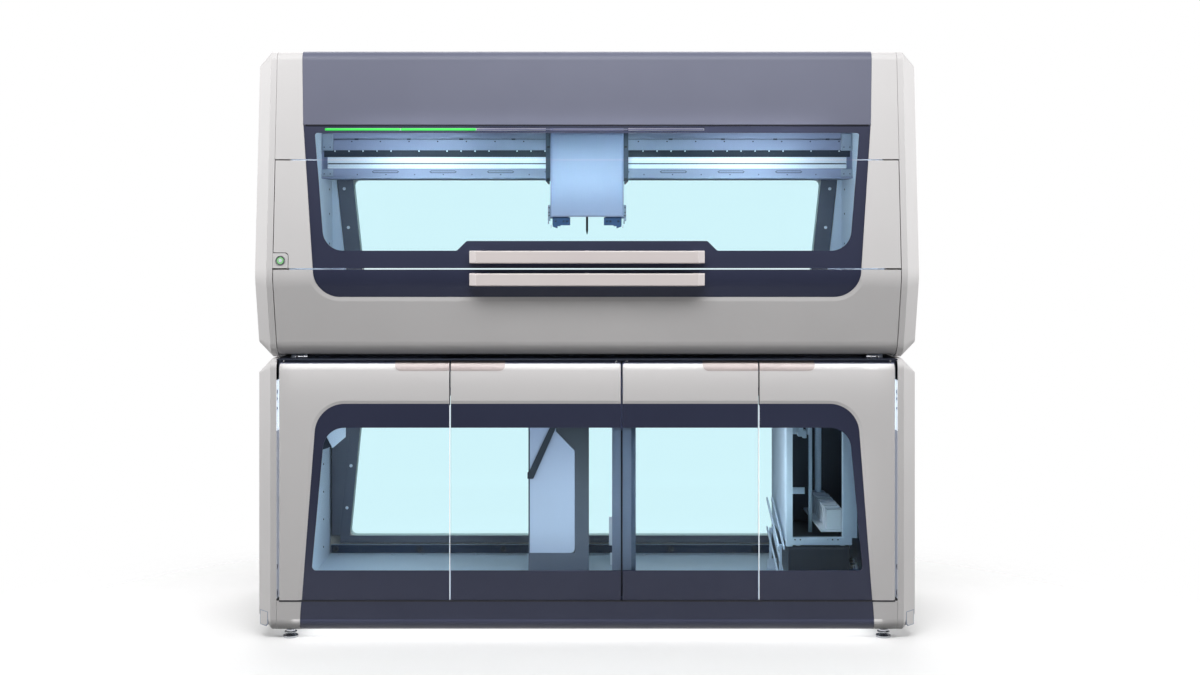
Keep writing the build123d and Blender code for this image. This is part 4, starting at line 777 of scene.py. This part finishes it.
# pipetting channel: side brackets with bolts, stepped feet under the legs, rollers; widths are
# from its middle, depths from its front, heights from its foot, bolts are (radius, height)
channelParts = {
    "bracket": (0.1225, 0.1305), "bracketDepths": (0.002, 0.030), "bracketSpan": (0.014, 0.067),
    "lipWidth": 0.003, "lipDepths": (0.002, 0.050), "lipSpan": (0.004, 0.014),
    "spacer": (0.1152, 0.1225), "spacerDepths": (0.008, 0.022), "spacerSpan": (0.022, 0.059),
    "foot": [(0.056, -0.0005), (0.056, 0.026), (0.114, 0.026), (0.114, -0.005), (0.098, -0.011),
             (0.098, -0.0035), (0.088, -0.0035), (0.088, -0.0005)],
    "footDepths": (-0.006, -0.0004),
    "bracketBolts": (0.032, 0.042, 0.058), "bracketBolt": (0.0024, 0.0022),
    "footBolts": (0.066, 0.078, 0.104), "footBoltRise": 0.013, "footBolt": (0.003, 0.002),
    "roller": [(0, 0.0021), (0, 0.0042), (0.002, 0.00483), (0.004, 0.0042), (0.004, 0.0021)],
    "rollerPlace": (0.1172, 0.006, -0.004),
}


def makeChannelParts():
    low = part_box("channel_body")[0]
    brackets, bolts, feet, rollers = bmesh.new(), bmesh.new(), bmesh.new(), bmesh.new()

    def depths(name):
        return [low[1] + depth for depth in channelParts[name]]

    def heights(name):
        return [low[2] + rise for rise in channelParts[name]]

    boltY, footY = depths("bracketDepths")[0], depths("footDepths")[0]
    rollerX, rollerDepth, rollerRise = channelParts["rollerPlace"]
    for side in (-1, 1):
        left, right = sorted(side * x for x in channelParts["bracket"])
        addBlock(brackets, (left, right), depths("bracketDepths"), heights("bracketSpan"))
        addBlock(brackets, (left, left + channelParts["lipWidth"]), depths("lipDepths"),
                 heights("lipSpan"))
        addSideBlock(brackets, side, channelParts["spacer"], depths("spacerDepths"),
                     heights("spacerSpan"))
        for z in heights("bracketBolts"):
            addScrew(bolts, ((left + right) / 2, boltY, z), towardsFront,
                     *channelParts["bracketBolt"])
        addPlate(feet, [(side * x, low[2] + rise) for x, rise in channelParts["foot"]],
                 *depths("footDepths"))
        for x in channelParts["footBolts"]:
            addScrew(bolts, (side * x, footY, low[2] + channelParts["footBoltRise"]),
                     towardsFront, *channelParts["footBolt"])
        addTurned(rollers, (side * rollerX, low[1] + rollerDepth, low[2] + rollerRise),
                  (side, 0, 0), channelParts["roller"], around=20)
    makePiece("channelBrackets", brackets, "frame_steel", "channel", bevel=0.0006)
    makePiece("channelFeet", feet, "hook_blue", "channel", bevel=0.0008)
    makePiece("channelBolts", bolts, "dark_plastic", "channel", bevel=0.0001)
    makePiece("channelRollers", rollers, "white_plastic", "channel",
              bevel=0.0002)


makeChannelParts()

# rubber stops at the front edges of the arm's housing: (height above its foot, half length)
armStops = {"across": (0.1235, 0.1345), "proud": (0.003, 0.0002),
            "places": ((0.1145, 0.0035), (0.007, 0.0045))}


def makeArmStops():
    stops = bmesh.new()
    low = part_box("arm_housing")[0]
    depths = [low[1] - proud for proud in armStops["proud"]]
    for side in (-1, 1):
        for rise, half in armStops["places"]:
            middle = low[2] + rise
            addSideBlock(stops, side, armStops["across"], depths, (middle - half, middle + half))
    makePiece("armStops", stops, "probe_black", "x_arm", bevel=0.0006)


makeArmStops()
print("arm details made")

# stacker: each block is (left, right) from its left side and (near, far) behind its front;
# the hanging ones are (foot, head) down from its top, the standing ones up from its foot
stacker = {
    "gripper": [((0.020, 0.038), (0.024, 0.060), (0.268, 0.242)),
                ((0.038, 0.046), (0.028, 0.060), (0.260, 0.246)),
                ((0.044, 0.060), (0.024, 0.060), (0.276, 0.246)),
                ((0.060, 0.072), (0.028, 0.060), (0.282, 0.256)),
                ((0.074, 0.084), (0.024, 0.060), (0.270, 0.246))],
    "hanger": ((0.032, 0.062), (0.050, 0.070), (0.250, 0.0004)),
    "motor": ((0.022, 0.034), (0.062, 0.084), (0.300, 0.200)),
    "innerPost": ((0.110, 0.122), (0.230, 0.242), (0.641, 0.0004)),
    "postPad": ((0.112, 0.120), (0.222, 0.230), (0.280, 0.160)),
    "bar": ((0.022, 0.084), (0.150, 0.158), (0.294, 0.316)),
    "barEnd": ((0.011, 0.022), (0.083, 0.160), (0.290, 0.320)),
    "crossPlate": ((0.054, 0.138), (-0.003, -0.0003), (0.158, 0.172)),
    "tabs": [((0.015, 0.023), (-0.0022, -0.0003), (0.114, 0.136)),
             ((0.198, 0.206), (-0.0022, -0.0003), (0.114, 0.136))],
    "screws": 9, "screwStart": 0.029, "screwPitch": 0.018, "screwRise": 0.168,
    "screwRadius": 0.0026, "screwHeight": 0.0012,
}


def makeStackerFittings():
    low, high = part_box("stacker_frame")
    left, front, top = low[0], low[1], high[2]
    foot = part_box("stacker_base")[0][2]
    light, dark = bmesh.new(), bmesh.new()

    def addPart(shape, block, heights):
        across, depths = block[:2]
        addBlock(shape, [left + x for x in across], [front + y for y in depths], heights)

    def hang(shape, block):
        addPart(shape, block, [top - drop for drop in block[2]])

    def stand(shape, block):
        addPart(shape, block, [foot + rise for rise in block[2]])

    for block in (*stacker["gripper"], stacker["hanger"], stacker["innerPost"],
                  stacker["postPad"]):
        hang(light, block)
    for name in ("bar", "barEnd", "crossPlate"):
        stand(light, stacker[name])
    hang(dark, stacker["motor"])
    for block in stacker["tabs"]:
        stand(dark, block)
    for k in range(stacker["screws"]):
        x = left + stacker["screwStart"] + stacker["screwPitch"] * k
        addScrew(dark, (x, front - hairline, foot + stacker["screwRise"]), towardsFront,
                 stacker["screwRadius"], stacker["screwHeight"])
    makePiece("stackerFittings", light, "interior_paint", "base")
    makePiece("stackerTabs", dark, "dark_plastic", "base", bevel=0.0004)


makeStackerFittings()

# slanted rails beside the stacker's base, running up towards the back, on two pairs of feet;
# heights are from the base's foot, slants are (near foot, far foot, height of the rail)
stackerRails = {
    "outwards": (0.016, 0.033), "width": 0.005, "depths": (0.01, 0.33),
    "slants": ((0.132, 0.238, 0.012), (0.036, 0.136, 0.010)),
    "feetBehind": (0.03, 0.30), "footDepth": 0.006,
    "foot": {"outwards": (0.034, 0.0005), "heights": (0.0002, 0.036)},
    "post": {"outwards": (0.026, 0.018), "heights": (0.036, 0.146)},
}


def makeStackerRails():
    rails = bmesh.new()
    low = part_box("stacker_base")[0]
    near, far = (low[1] + depth for depth in stackerRails["depths"])
    for outwards in stackerRails["outwards"]:
        left = low[0] - outwards
        for nearRise, farRise, height in stackerRails["slants"]:
            nearZ, farZ = low[2] + nearRise, low[2] + farRise
            outline = [(near, nearZ), (far, farZ), (far, farZ + height), (near, nearZ + height)]
            addBar(rails, outline, left, left + stackerRails["width"])
    for behind in stackerRails["feetBehind"]:
        depths = (low[1] + behind, low[1] + behind + stackerRails["footDepth"])
        for part in (stackerRails["foot"], stackerRails["post"]):
            addBlock(rails, [low[0] - outwards for outwards in part["outwards"]], depths,
                     [low[2] + rise for rise in part["heights"]])
    makePiece("stackerRails", rails, "interior_paint", "base", bevel=0.0004)


makeStackerRails()

# folded panel that closes the stacker's back, a little wider than its frame on the right
stackerBack = {"inwards": 0.170, "outwards": 0.030, "rise": 0.032, "drop": 0.040,
               "fold": 0.018, "sheet": 0.003, "gap": 0.0006}


def makeStackerBack():
    shape = bmesh.new()
    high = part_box("stacker_frame")[1]
    left, right = high[0] - stackerBack["inwards"], high[0] + stackerBack["outwards"]
    near, sheet = high[1] + stackerBack["gap"], stackerBack["sheet"]
    far = near + stackerBack["fold"]
    outline = [(left, near), (right, near), (right, far), (right - sheet, far),
               (right - sheet, near + sheet), (left + sheet, near + sheet), (left + sheet, far),
               (left, far)]
    foot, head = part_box("stacker_base")[0][2] + stackerBack["rise"], high[2] - stackerBack["drop"]
    addSolid(shape, [(x, y, foot) for x, y in outline], [(x, y, head) for x, y in outline])
    makePiece("stackerBack", shape, "dark_plastic", "base", bevel=0.0004)


makeStackerBack()

# two capped vessels on the floor, (outwards, behind) the right front corner of the stacker's
# base; (height, radius) profiles
vessel = {
    "places": [(0.022, 0.032), (0.034, 0.122)], "gap": 0.0004,
    "body": [(0, 0.01806), (0.003, 0.021), (0.04176, 0.021), (0.0522, 0.01512), (0.058, 0.011),
             (0.064, 0.011)],
    "cap": [(0, 0.0135), (0.0104, 0.0135), (0.013, 0.01161), (0.015, 0.00405)],
}


def makeVessels():
    bodies, caps = bmesh.new(), bmesh.new()
    low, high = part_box("stacker_base")
    foot = low[2] + vessel["gap"]
    head = foot + vessel["body"][-1][0]
    for outwards, behind in vessel["places"]:
        x, y = high[0] + outwards, low[1] + behind
        addTurned(bodies, (x, y, foot), upwards, vessel["body"], around=32)
        addTurned(caps, (x, y, head), upwards, vessel["cap"], around=32)
    makePiece("vessels", bodies, "bin_blue", "base", bevel=0.0006)
    makePiece("vesselCaps", caps, "chrome", "base", bevel=0.0004)


makeVessels()

# folded white bracket on the floor behind the centre post: sheets are (left, right) from the
# post's left side and (foot, head) from the post's foot
floorBracket = {
    "behind": 0.507, "sheet": 0.002,
    "face": ((-0.027, 0.0), (0.072, 0.175)), "neck": ((-0.008, 0.0), (0.046, 0.072)),
    "foot": ((-0.023, 0.0), (0.0005, 0.046)),
    "wingDepth": 0.070, "wingSpan": (0.0005, 0.125),
}


def makeFloorBracket():
    shape = bmesh.new()
    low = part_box("center_post")[0]
    sheet, near = floorBracket["sheet"], low[1] + floorBracket["behind"]
    for part in ("face", "neck", "foot"):
        across, heights = floorBracket[part]
        addBlock(shape, [low[0] + x for x in across], (near, near + sheet),
                 [low[2] + rise for rise in heights])
    addBlock(shape, (low[0] - sheet, low[0]), (near + sheet, near + floorBracket["wingDepth"]),
             [low[2] + rise for rise in floorBracket["wingSpan"]])
    makePiece("floorBracket", shape, "white_plastic", "base", bevel=0.0004)


makeFloorBracket()
print("bay details made")

# strips on the free edges of the outer doors, pale with a dark end: the pale part glows as painted
# light seen through the gap, the dark end is painted shade; heights from the door's foot
gapLightAndShade = {
    "doors": {1: 1, 4: -1},     # door number and which way its free edge faces
    "gap": 0.0002, "width": 0.0020, "depths": (0.004, 0.014), "lip": 0.003, "lipInset": 0.002,
    "parts": [{"name": "span", "heights": (0.0004, 0.6264), "finish": "painted_light_white",
               "slot": "white_plastic"},
              {"name": "upper", "heights": (0.6284, 0.7344), "finish": "dark_plastic",
               "slot": "dark_plastic"}],
}


def makeDoorGapLightAndShade():
    for number, free in gapLightAndShade["doors"].items():
        low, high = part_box(f"door_{number}_panel")
        edge = high[0] if free > 0 else low[0]
        left, right = sorted((edge + free * gapLightAndShade["gap"], edge + free * gapLightAndShade["width"]))
        near, far = (low[1] + depth for depth in gapLightAndShade["depths"])
        for part in gapLightAndShade["parts"]:
            shape = bmesh.new()
            foot, head = (low[2] + rise for rise in part["heights"])
            addBlock(shape, (left, right), (near, far), (foot, head))
            addBlock(shape, (left, (left + right) / 2), (far, far + gapLightAndShade["lip"]),
                     (foot + gapLightAndShade["lipInset"], head - gapLightAndShade["lipInset"]))
            makePiece(f"doorGapLightAndShade{number}{part['name']}", shape, part["finish"],
                      f"door_{number}", bevel=0.0004)


makeDoorGapLightAndShade()

# joints beside the outer doors, painted light: a pale glowing strip with a fold behind it and a
# brighter glowing one above stand in for the light seen through the gap; dark marks at (height,
# half length); widths are from the door's outer edge, heights from its foot
outerJoint = {
    "glowStrip": (0.0062, 0.0076), "depths": (0.0015, 0.0290),
    "fold": (-0.0025, 0.0060), "foldDepths": (0.0265, 0.0290),
    "pale": (0.0044, 0.5424), "lit": (0.5444, 0.7084),
    "marks": ((0.6484, 0.006), (0.6704, 0.009), (0.6174, 0.005), (0.1074, 0.009),
              (0.0224, 0.012)),
    "mark": (0.0050, 0.0061), "markDepths": (0.0015, 0.0043), "stemDepths": (0.0043, 0.0099),
    "seamHalf": 0.003, "seamProud": (0.0014, 0.0002),
}


def makeOuterJoints():
    pale, lit, dark = bmesh.new(), bmesh.new(), bmesh.new()
    low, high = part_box("door_4_panel")

    def addStrip(shape, side, across, depths, heights):
        addSideBlock(shape, side, [high[0] + x for x in across], [low[1] + y for y in depths],
                     [low[2] + z for z in heights])

    for side in (-1, 1):
        for shape, heights in ((lit, outerJoint["lit"]), (pale, outerJoint["pale"])):
            addStrip(shape, side, outerJoint["glowStrip"], outerJoint["depths"], heights)
            addStrip(shape, side, outerJoint["fold"], outerJoint["foldDepths"], heights)
        for z, half in outerJoint["marks"]:
            addStrip(dark, side, outerJoint["mark"], outerJoint["markDepths"],
                     (z - half, z + half))
            addStrip(dark, side, outerJoint["mark"], outerJoint["stemDepths"],
                     (z - half / 2, z + half / 2))
    # painted shade: a dark strip on the centre post, behind the seam of the middle doors, so the
    # seam reads as a shadow line
    seam = (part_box("door_2_panel")[1][0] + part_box("door_3_panel")[0][0]) / 2
    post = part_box("center_post")[0][1]
    half = outerJoint["seamHalf"]
    addBlock(dark, (seam - half, seam + half), [post - proud for proud in outerJoint["seamProud"]],
             [low[2] + z for z in outerJoint["pale"]])
    # the lit and pale strips glow: painted light seen through the joints
    makePiece("jointLight", lit, "painted_light_white", "base", bevel=0.0002)
    makePiece("jointPaleGlow", pale, "painted_light_pale", "base", bevel=0.0002)
    makePiece("jointMarksAndSeamShade", dark, "dark_plastic", "base", bevel=0.0002)


makeOuterJoints()

# painted shade: dark beads in the level joints, and a dark screen between the tiers, so these
# joints read as shadow lines;
# (depth, height) outlines from a node's front and from its foot or its top
shadowBeads = [
    {"name": "headerShadowBead", "node": "header_cover", "edge": "foot", "reach": 0.905,
     "outline": [(0.00107, -0.0052), (0.00107, -0.0002), (0.00567, -0.0002), (0.00567, -0.0017),
                 (0.00237, -0.0017), (0.00237, -0.0052)]},
    {"name": "fasciaShadowBead", "node": "fascia_center", "edge": "top", "reach": 0.992,
     "outline": [(-0.0010, -0.0026), (-0.0010, 0.0016), (0.0120, 0.0016), (0.0120, 0.0003),
                 (-0.0002, 0.0003), (-0.0002, -0.0026)]},
    {"name": "tierShadowScreen", "node": "deck_frame", "edge": "foot", "reach": 0.950,
     "outline": [(-0.0050, -0.0237), (-0.0050, -0.0015), (-0.0020, -0.0015), (-0.0020, -0.0257),
                 (-0.0140, -0.0257), (-0.0140, -0.0237)]},
]


def makeShadowBead(shadowBead):
    shape = bmesh.new()
    low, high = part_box(shadowBead["node"])
    level = low[2] if shadowBead["edge"] == "foot" else high[2]
    outline = [(low[1] + behind, level + above) for behind, above in shadowBead["outline"]]
    addBar(shape, outline, -shadowBead["reach"], shadowBead["reach"])
    makePiece(shadowBead["name"], shape, "probe_black", "base", bevel=0.0002)


for shadowBead in shadowBeads:
    makeShadowBead(shadowBead)

# grip plates let into the lower outer corners of the cabinet's side covers, which run at 45 degrees
gripPlate = {"start": 0.019, "jointInset": 0.065, "along": (0.010, 0.042), "span": (0.040, 0.088),
             "corner": 0.007, "buried": 0.0012, "plateProud": 0.0009, "rimProud": 0.00036,
             "rim": 0.0022}


# one layer on one side: inset from the plate's edge, standing proud of the cover's corner
def addGripLayer(shape, side, inset, proud):
    low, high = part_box("cabinet_side_covers")
    start = high[0] - gripPlate["jointInset"] + gripPlate["start"]
    near, far = gripPlate["along"][0] + inset, gripPlate["along"][1] - inset
    bottom, top = gripPlate["span"][0] + inset, gripPlate["span"][1] - inset
    corner = gripPlate["corner"]
    outline = [(near, bottom + corner), (near + corner, bottom), (far, bottom), (far, top),
               (near, top)]
    rows = []
    for height in (-gripPlate["buried"], proud):
        step = height / math.sqrt(2)
        rows.append([(side * (start + along + step), low[1] + along - step, z)
                     for along, z in outline])
    addSolid(shape, *rows)


def makeGripPlates():
    rims, plates = bmesh.new(), bmesh.new()
    for side in (-1, 1):
        addGripLayer(rims, side, 0.0, gripPlate["rimProud"])
        addGripLayer(plates, side, gripPlate["rim"], gripPlate["plateProud"])
    makePiece("gripPlateRims", rims, "frame_steel", "base", bevel=0.0002)
    makePiece("gripPlates", plates, "light_grey_paint", "base", bevel=0.0005)


makeGripPlates()

# lock nuts and washers on the levelling feet; (height, radius) profiles
footNut = {"padRadius": 0.024, "nutZ": 0.0185, "washerZ": 0.0163,
           "nut": [(0, 0.01485), (0.0015, 0.0165), (0.0075, 0.0165), (0.009, 0.01485)],
           "washer": [(0, 0.020), (0.0020, 0.020)]}


def makeFootNuts():
    nuts, washers = bmesh.new(), bmesh.new()
    low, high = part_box("leveling_feet")
    pad = footNut["padRadius"]
    for x in (low[0] + pad, high[0] - pad):
        for y in (low[1] + pad, high[1] - pad):
            addTurned(nuts, (x, y, footNut["nutZ"]), upwards, footNut["nut"], around=6)
            addTurned(washers, (x, y, footNut["washerZ"]), upwards, footNut["washer"])
    makePiece("footNuts", nuts, "chrome", "base", bevel=0.0005)
    makePiece("footWashers", washers, "chrome", "base", bevel=0.0003)


makeFootNuts()

# latches in the joint between the tiers, turned with a waist, from the cabinet's top plate
latch = {"x": 0.905, "behind": 0.025, "rise": 0.0055,
         "profile": [(0, 0.0027), (0.003, 0.0045), (0.012, 0.0045), (0.014, 0.0027),
                     (0.024, 0.0027), (0.026, 0.0045), (0.037, 0.0045), (0.040, 0.00225)]}


def makeTierLatches():
    shape = bmesh.new()
    low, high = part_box("cabinet_top_plate")
    y, z = low[1] + latch["behind"], high[2] + latch["rise"]
    for side in (-1, 1):
        addTurned(shape, (side * latch["x"], y, z), (side, 0, 0), latch["profile"], around=20)
    makePiece("tierLatches", shape, "chrome", "base", bevel=0.0003)


makeTierLatches()
print("small hardware made")

# a round of pale floor paper that fades into the sky
floorPaper = {"reach": 6.0, "whiteness": 0.9, "rough": 0.9, "specular": 0.1, "solidTo": 1.1,
              "goneAt": 1.9, "shift": (0.0, 0.45, 0.0), "squeeze": (0.8, 1.0, 1.0)}


def layFloor():
    mesh = bpy.data.meshes.new("floor")
    sheet = bmesh.new()
    bmesh.ops.create_grid(sheet, x_segments=1, y_segments=1, size=floorPaper["reach"])
    sheet.to_mesh(mesh)
    sheet.free()
    floor = bpy.data.objects.new("floor", mesh)
    bpy.context.scene.collection.objects.link(floor)
    material, shader = newMaterial("floorPaper")
    shader.inputs["Base Color"].default_value = (floorPaper["whiteness"],) * 3 + (1.0,)
    shader.inputs["Roughness"].default_value = floorPaper["rough"]
    shader.inputs["Specular IOR Level"].default_value = floorPaper["specular"]
    place = addNode(material, "ShaderNodeMapping", Location=floorPaper["shift"],
                    Scale=floorPaper["squeeze"])
    join(material, objectPoint(material), place.inputs["Vector"])
    reach = addNode(material, "ShaderNodeVectorMath", operation="LENGTH")
    join(material, place.outputs["Vector"], reach.inputs[0])
    fade = addNode(material, "ShaderNodeMapRange", interpolation_type="SMOOTHSTEP")
    fade.inputs["From Min"].default_value = floorPaper["solidTo"]
    fade.inputs["From Max"].default_value = floorPaper["goneAt"]
    fade.inputs["To Min"].default_value = 1.0
    fade.inputs["To Max"].default_value = 0.0
    join(material, reach.outputs["Value"], fade.inputs["Value"])
    join(material, fade.outputs["Result"], shader.inputs["Alpha"])
    mesh.materials.append(material)
    floor.visible_diffuse = False


# softboxes round the machine
lamps = [
    {"name": "topSoftbox", "at": (0, -2.3, 3.5), "aim": (0, -0.35, 1.5), "size": (4.2, 0.9),
     "power": 105},
    {"name": "backSoftbox", "at": (0, 3.6, 5.0), "aim": (0, 1.2, 0.0), "size": (5.5, 3.0),
     "power": 190},
    {"name": "leftSoftbox", "at": (-4.2, -0.7, 2.0), "aim": (-0.9, -0.3, 0.8), "size": (2.0, 3.0),
     "power": 94},
    {"name": "rightSoftbox", "at": (4.2, -0.7, 2.0), "aim": (0.9, -0.3, 0.8), "size": (2.0, 3.0),
     "power": 94},
]
# fills that no pane mirrors: low in front, in the joints, through the windows and behind them
fills = [
    {"name": "frontBounce", "at": (0, -2.2, 0.15), "aim": (0, -0.45, 0.7), "size": (4.5, 0.8),
     "power": 6.5},
    {"name": "doorTopLight", "at": (0, -0.430, 1.05), "aim": (0, -0.352, 0.89),
     "size": (1.95, 0.02), "power": 0.2, "spread": 0.45},
    {"name": "underFill", "at": (0, -0.26, 0.066), "aim": (0, -0.26, 0.0), "size": (1.9, 0.22),
     "power": 2.0},
    {"name": "upperWindowLight", "at": (0, -1.3, 1.555), "aim": (0, 0, 1.535), "size": (1.5, 0.12),
     "power": 1.5, "spread": 0.30},
    {"name": "lowerWindowLight", "at": (0.35, -1.3, 0.46), "aim": (0.35, 0, 0.44),
     "size": (1.0, 0.30), "power": 0.25, "spread": 0.35},
    {"name": "deckFill", "at": (0, -0.335, 1.27), "aim": (0, 0.1, 1.42), "size": (1.7, 0.06),
     "power": 1.2},
    {"name": "leftDeckFill", "at": (-0.45, -0.20, 1.45), "aim": (-0.9, -0.02, 1.42),
     "size": (0.10, 0.30), "power": 2.4},
    {"name": "rightDeckFill", "at": (0.45, -0.20, 1.45), "aim": (0.9, -0.02, 1.42),
     "size": (0.10, 0.30), "power": 2.4},
    {"name": "leftCabinetFill", "at": (-0.55, -0.20, 0.50), "aim": (-0.95, -0.05, 0.48),
     "size": (0.10, 0.40), "power": 1.5},
    {"name": "rightCabinetFill", "at": (0.50, -0.20, 0.50), "aim": (0.95, -0.05, 0.48),
     "size": (0.10, 0.40), "power": 0.8},
    {"name": "floorFill", "at": (-0.1, -0.22, 0.80), "aim": (-0.1, -0.10, 0.1),
     "size": (1.3, 0.12), "power": 1.5},
    {"name": "cabinetFill", "at": (-0.1, -0.295, 0.42), "aim": (-0.1, 0.5, 0.36),
     "size": (1.25, 0.35), "power": 2.2},
]


def hangLamp(lamp, mirrored):
    light = bpy.data.lights.new(lamp["name"], "AREA")
    light.shape = "RECTANGLE"
    light.size, light.size_y = lamp["size"]
    light.energy = lamp["power"]
    light.spread = lamp.get("spread", math.pi)
    holder = bpy.data.objects.new(lamp["name"], light)
    holder.location = lamp["at"]
    aim = Vector(lamp["aim"]) - Vector(lamp["at"])
    holder.rotation_euler = aim.to_track_quat("-Z", "Y").to_euler()
    holder.visible_glossy = mirrored
    holder.visible_camera = False
    bpy.context.scene.collection.objects.link(holder)


# the sky is white to the camera and dimmer as a light
sky = {"seen": 1.0, "lit": 0.12}


def paintSky():
    world = bpy.data.worlds.new("studioSky")
    world.use_nodes = True
    bpy.context.scene.world = world
    tree = world.node_tree
    lit = tree.nodes["Background"]
    seen = tree.nodes.new("ShaderNodeBackground")
    for shade, strength in ((lit, sky["lit"]), (seen, sky["seen"])):
        shade.inputs["Color"].default_value = (1, 1, 1, 1)
        shade.inputs["Strength"].default_value = strength
    path = tree.nodes.new("ShaderNodeLightPath")
    mix = tree.nodes.new("ShaderNodeMixShader")
    tree.links.new(path.outputs["Is Camera Ray"], mix.inputs["Fac"])
    tree.links.new(lit.outputs[0], mix.inputs[1])
    tree.links.new(seen.outputs[0], mix.inputs[2])
    tree.links.new(mix.outputs[0], tree.nodes["World Output"].inputs["Surface"])


# level camera straight in front of the machine
view = {"eye": (0.0, -5.012, 1.32), "lens": 43.41, "sensor": 36.0, "shift": (0.0108, -0.0896)}


def standCamera():
    camera = bpy.data.cameras.new("frontCamera")
    camera.sensor_width = view["sensor"]
    camera.lens = view["lens"]
    camera.shift_x, camera.shift_y = view["shift"]
    holder = bpy.data.objects.new("frontCamera", camera)
    holder.location = view["eye"]
    holder.rotation_euler = (math.pi / 2, 0, 0)
    bpy.context.scene.collection.objects.link(holder)
    bpy.context.scene.camera = holder


bpy.context.scene.view_settings.view_transform = "Standard"
layFloor()
for lamp in lamps:
    hangLamp(lamp, mirrored=True)
for fill in fills:
    hangLamp(fill, mirrored=False)
paintSky()
standCamera()
print("studio ready")
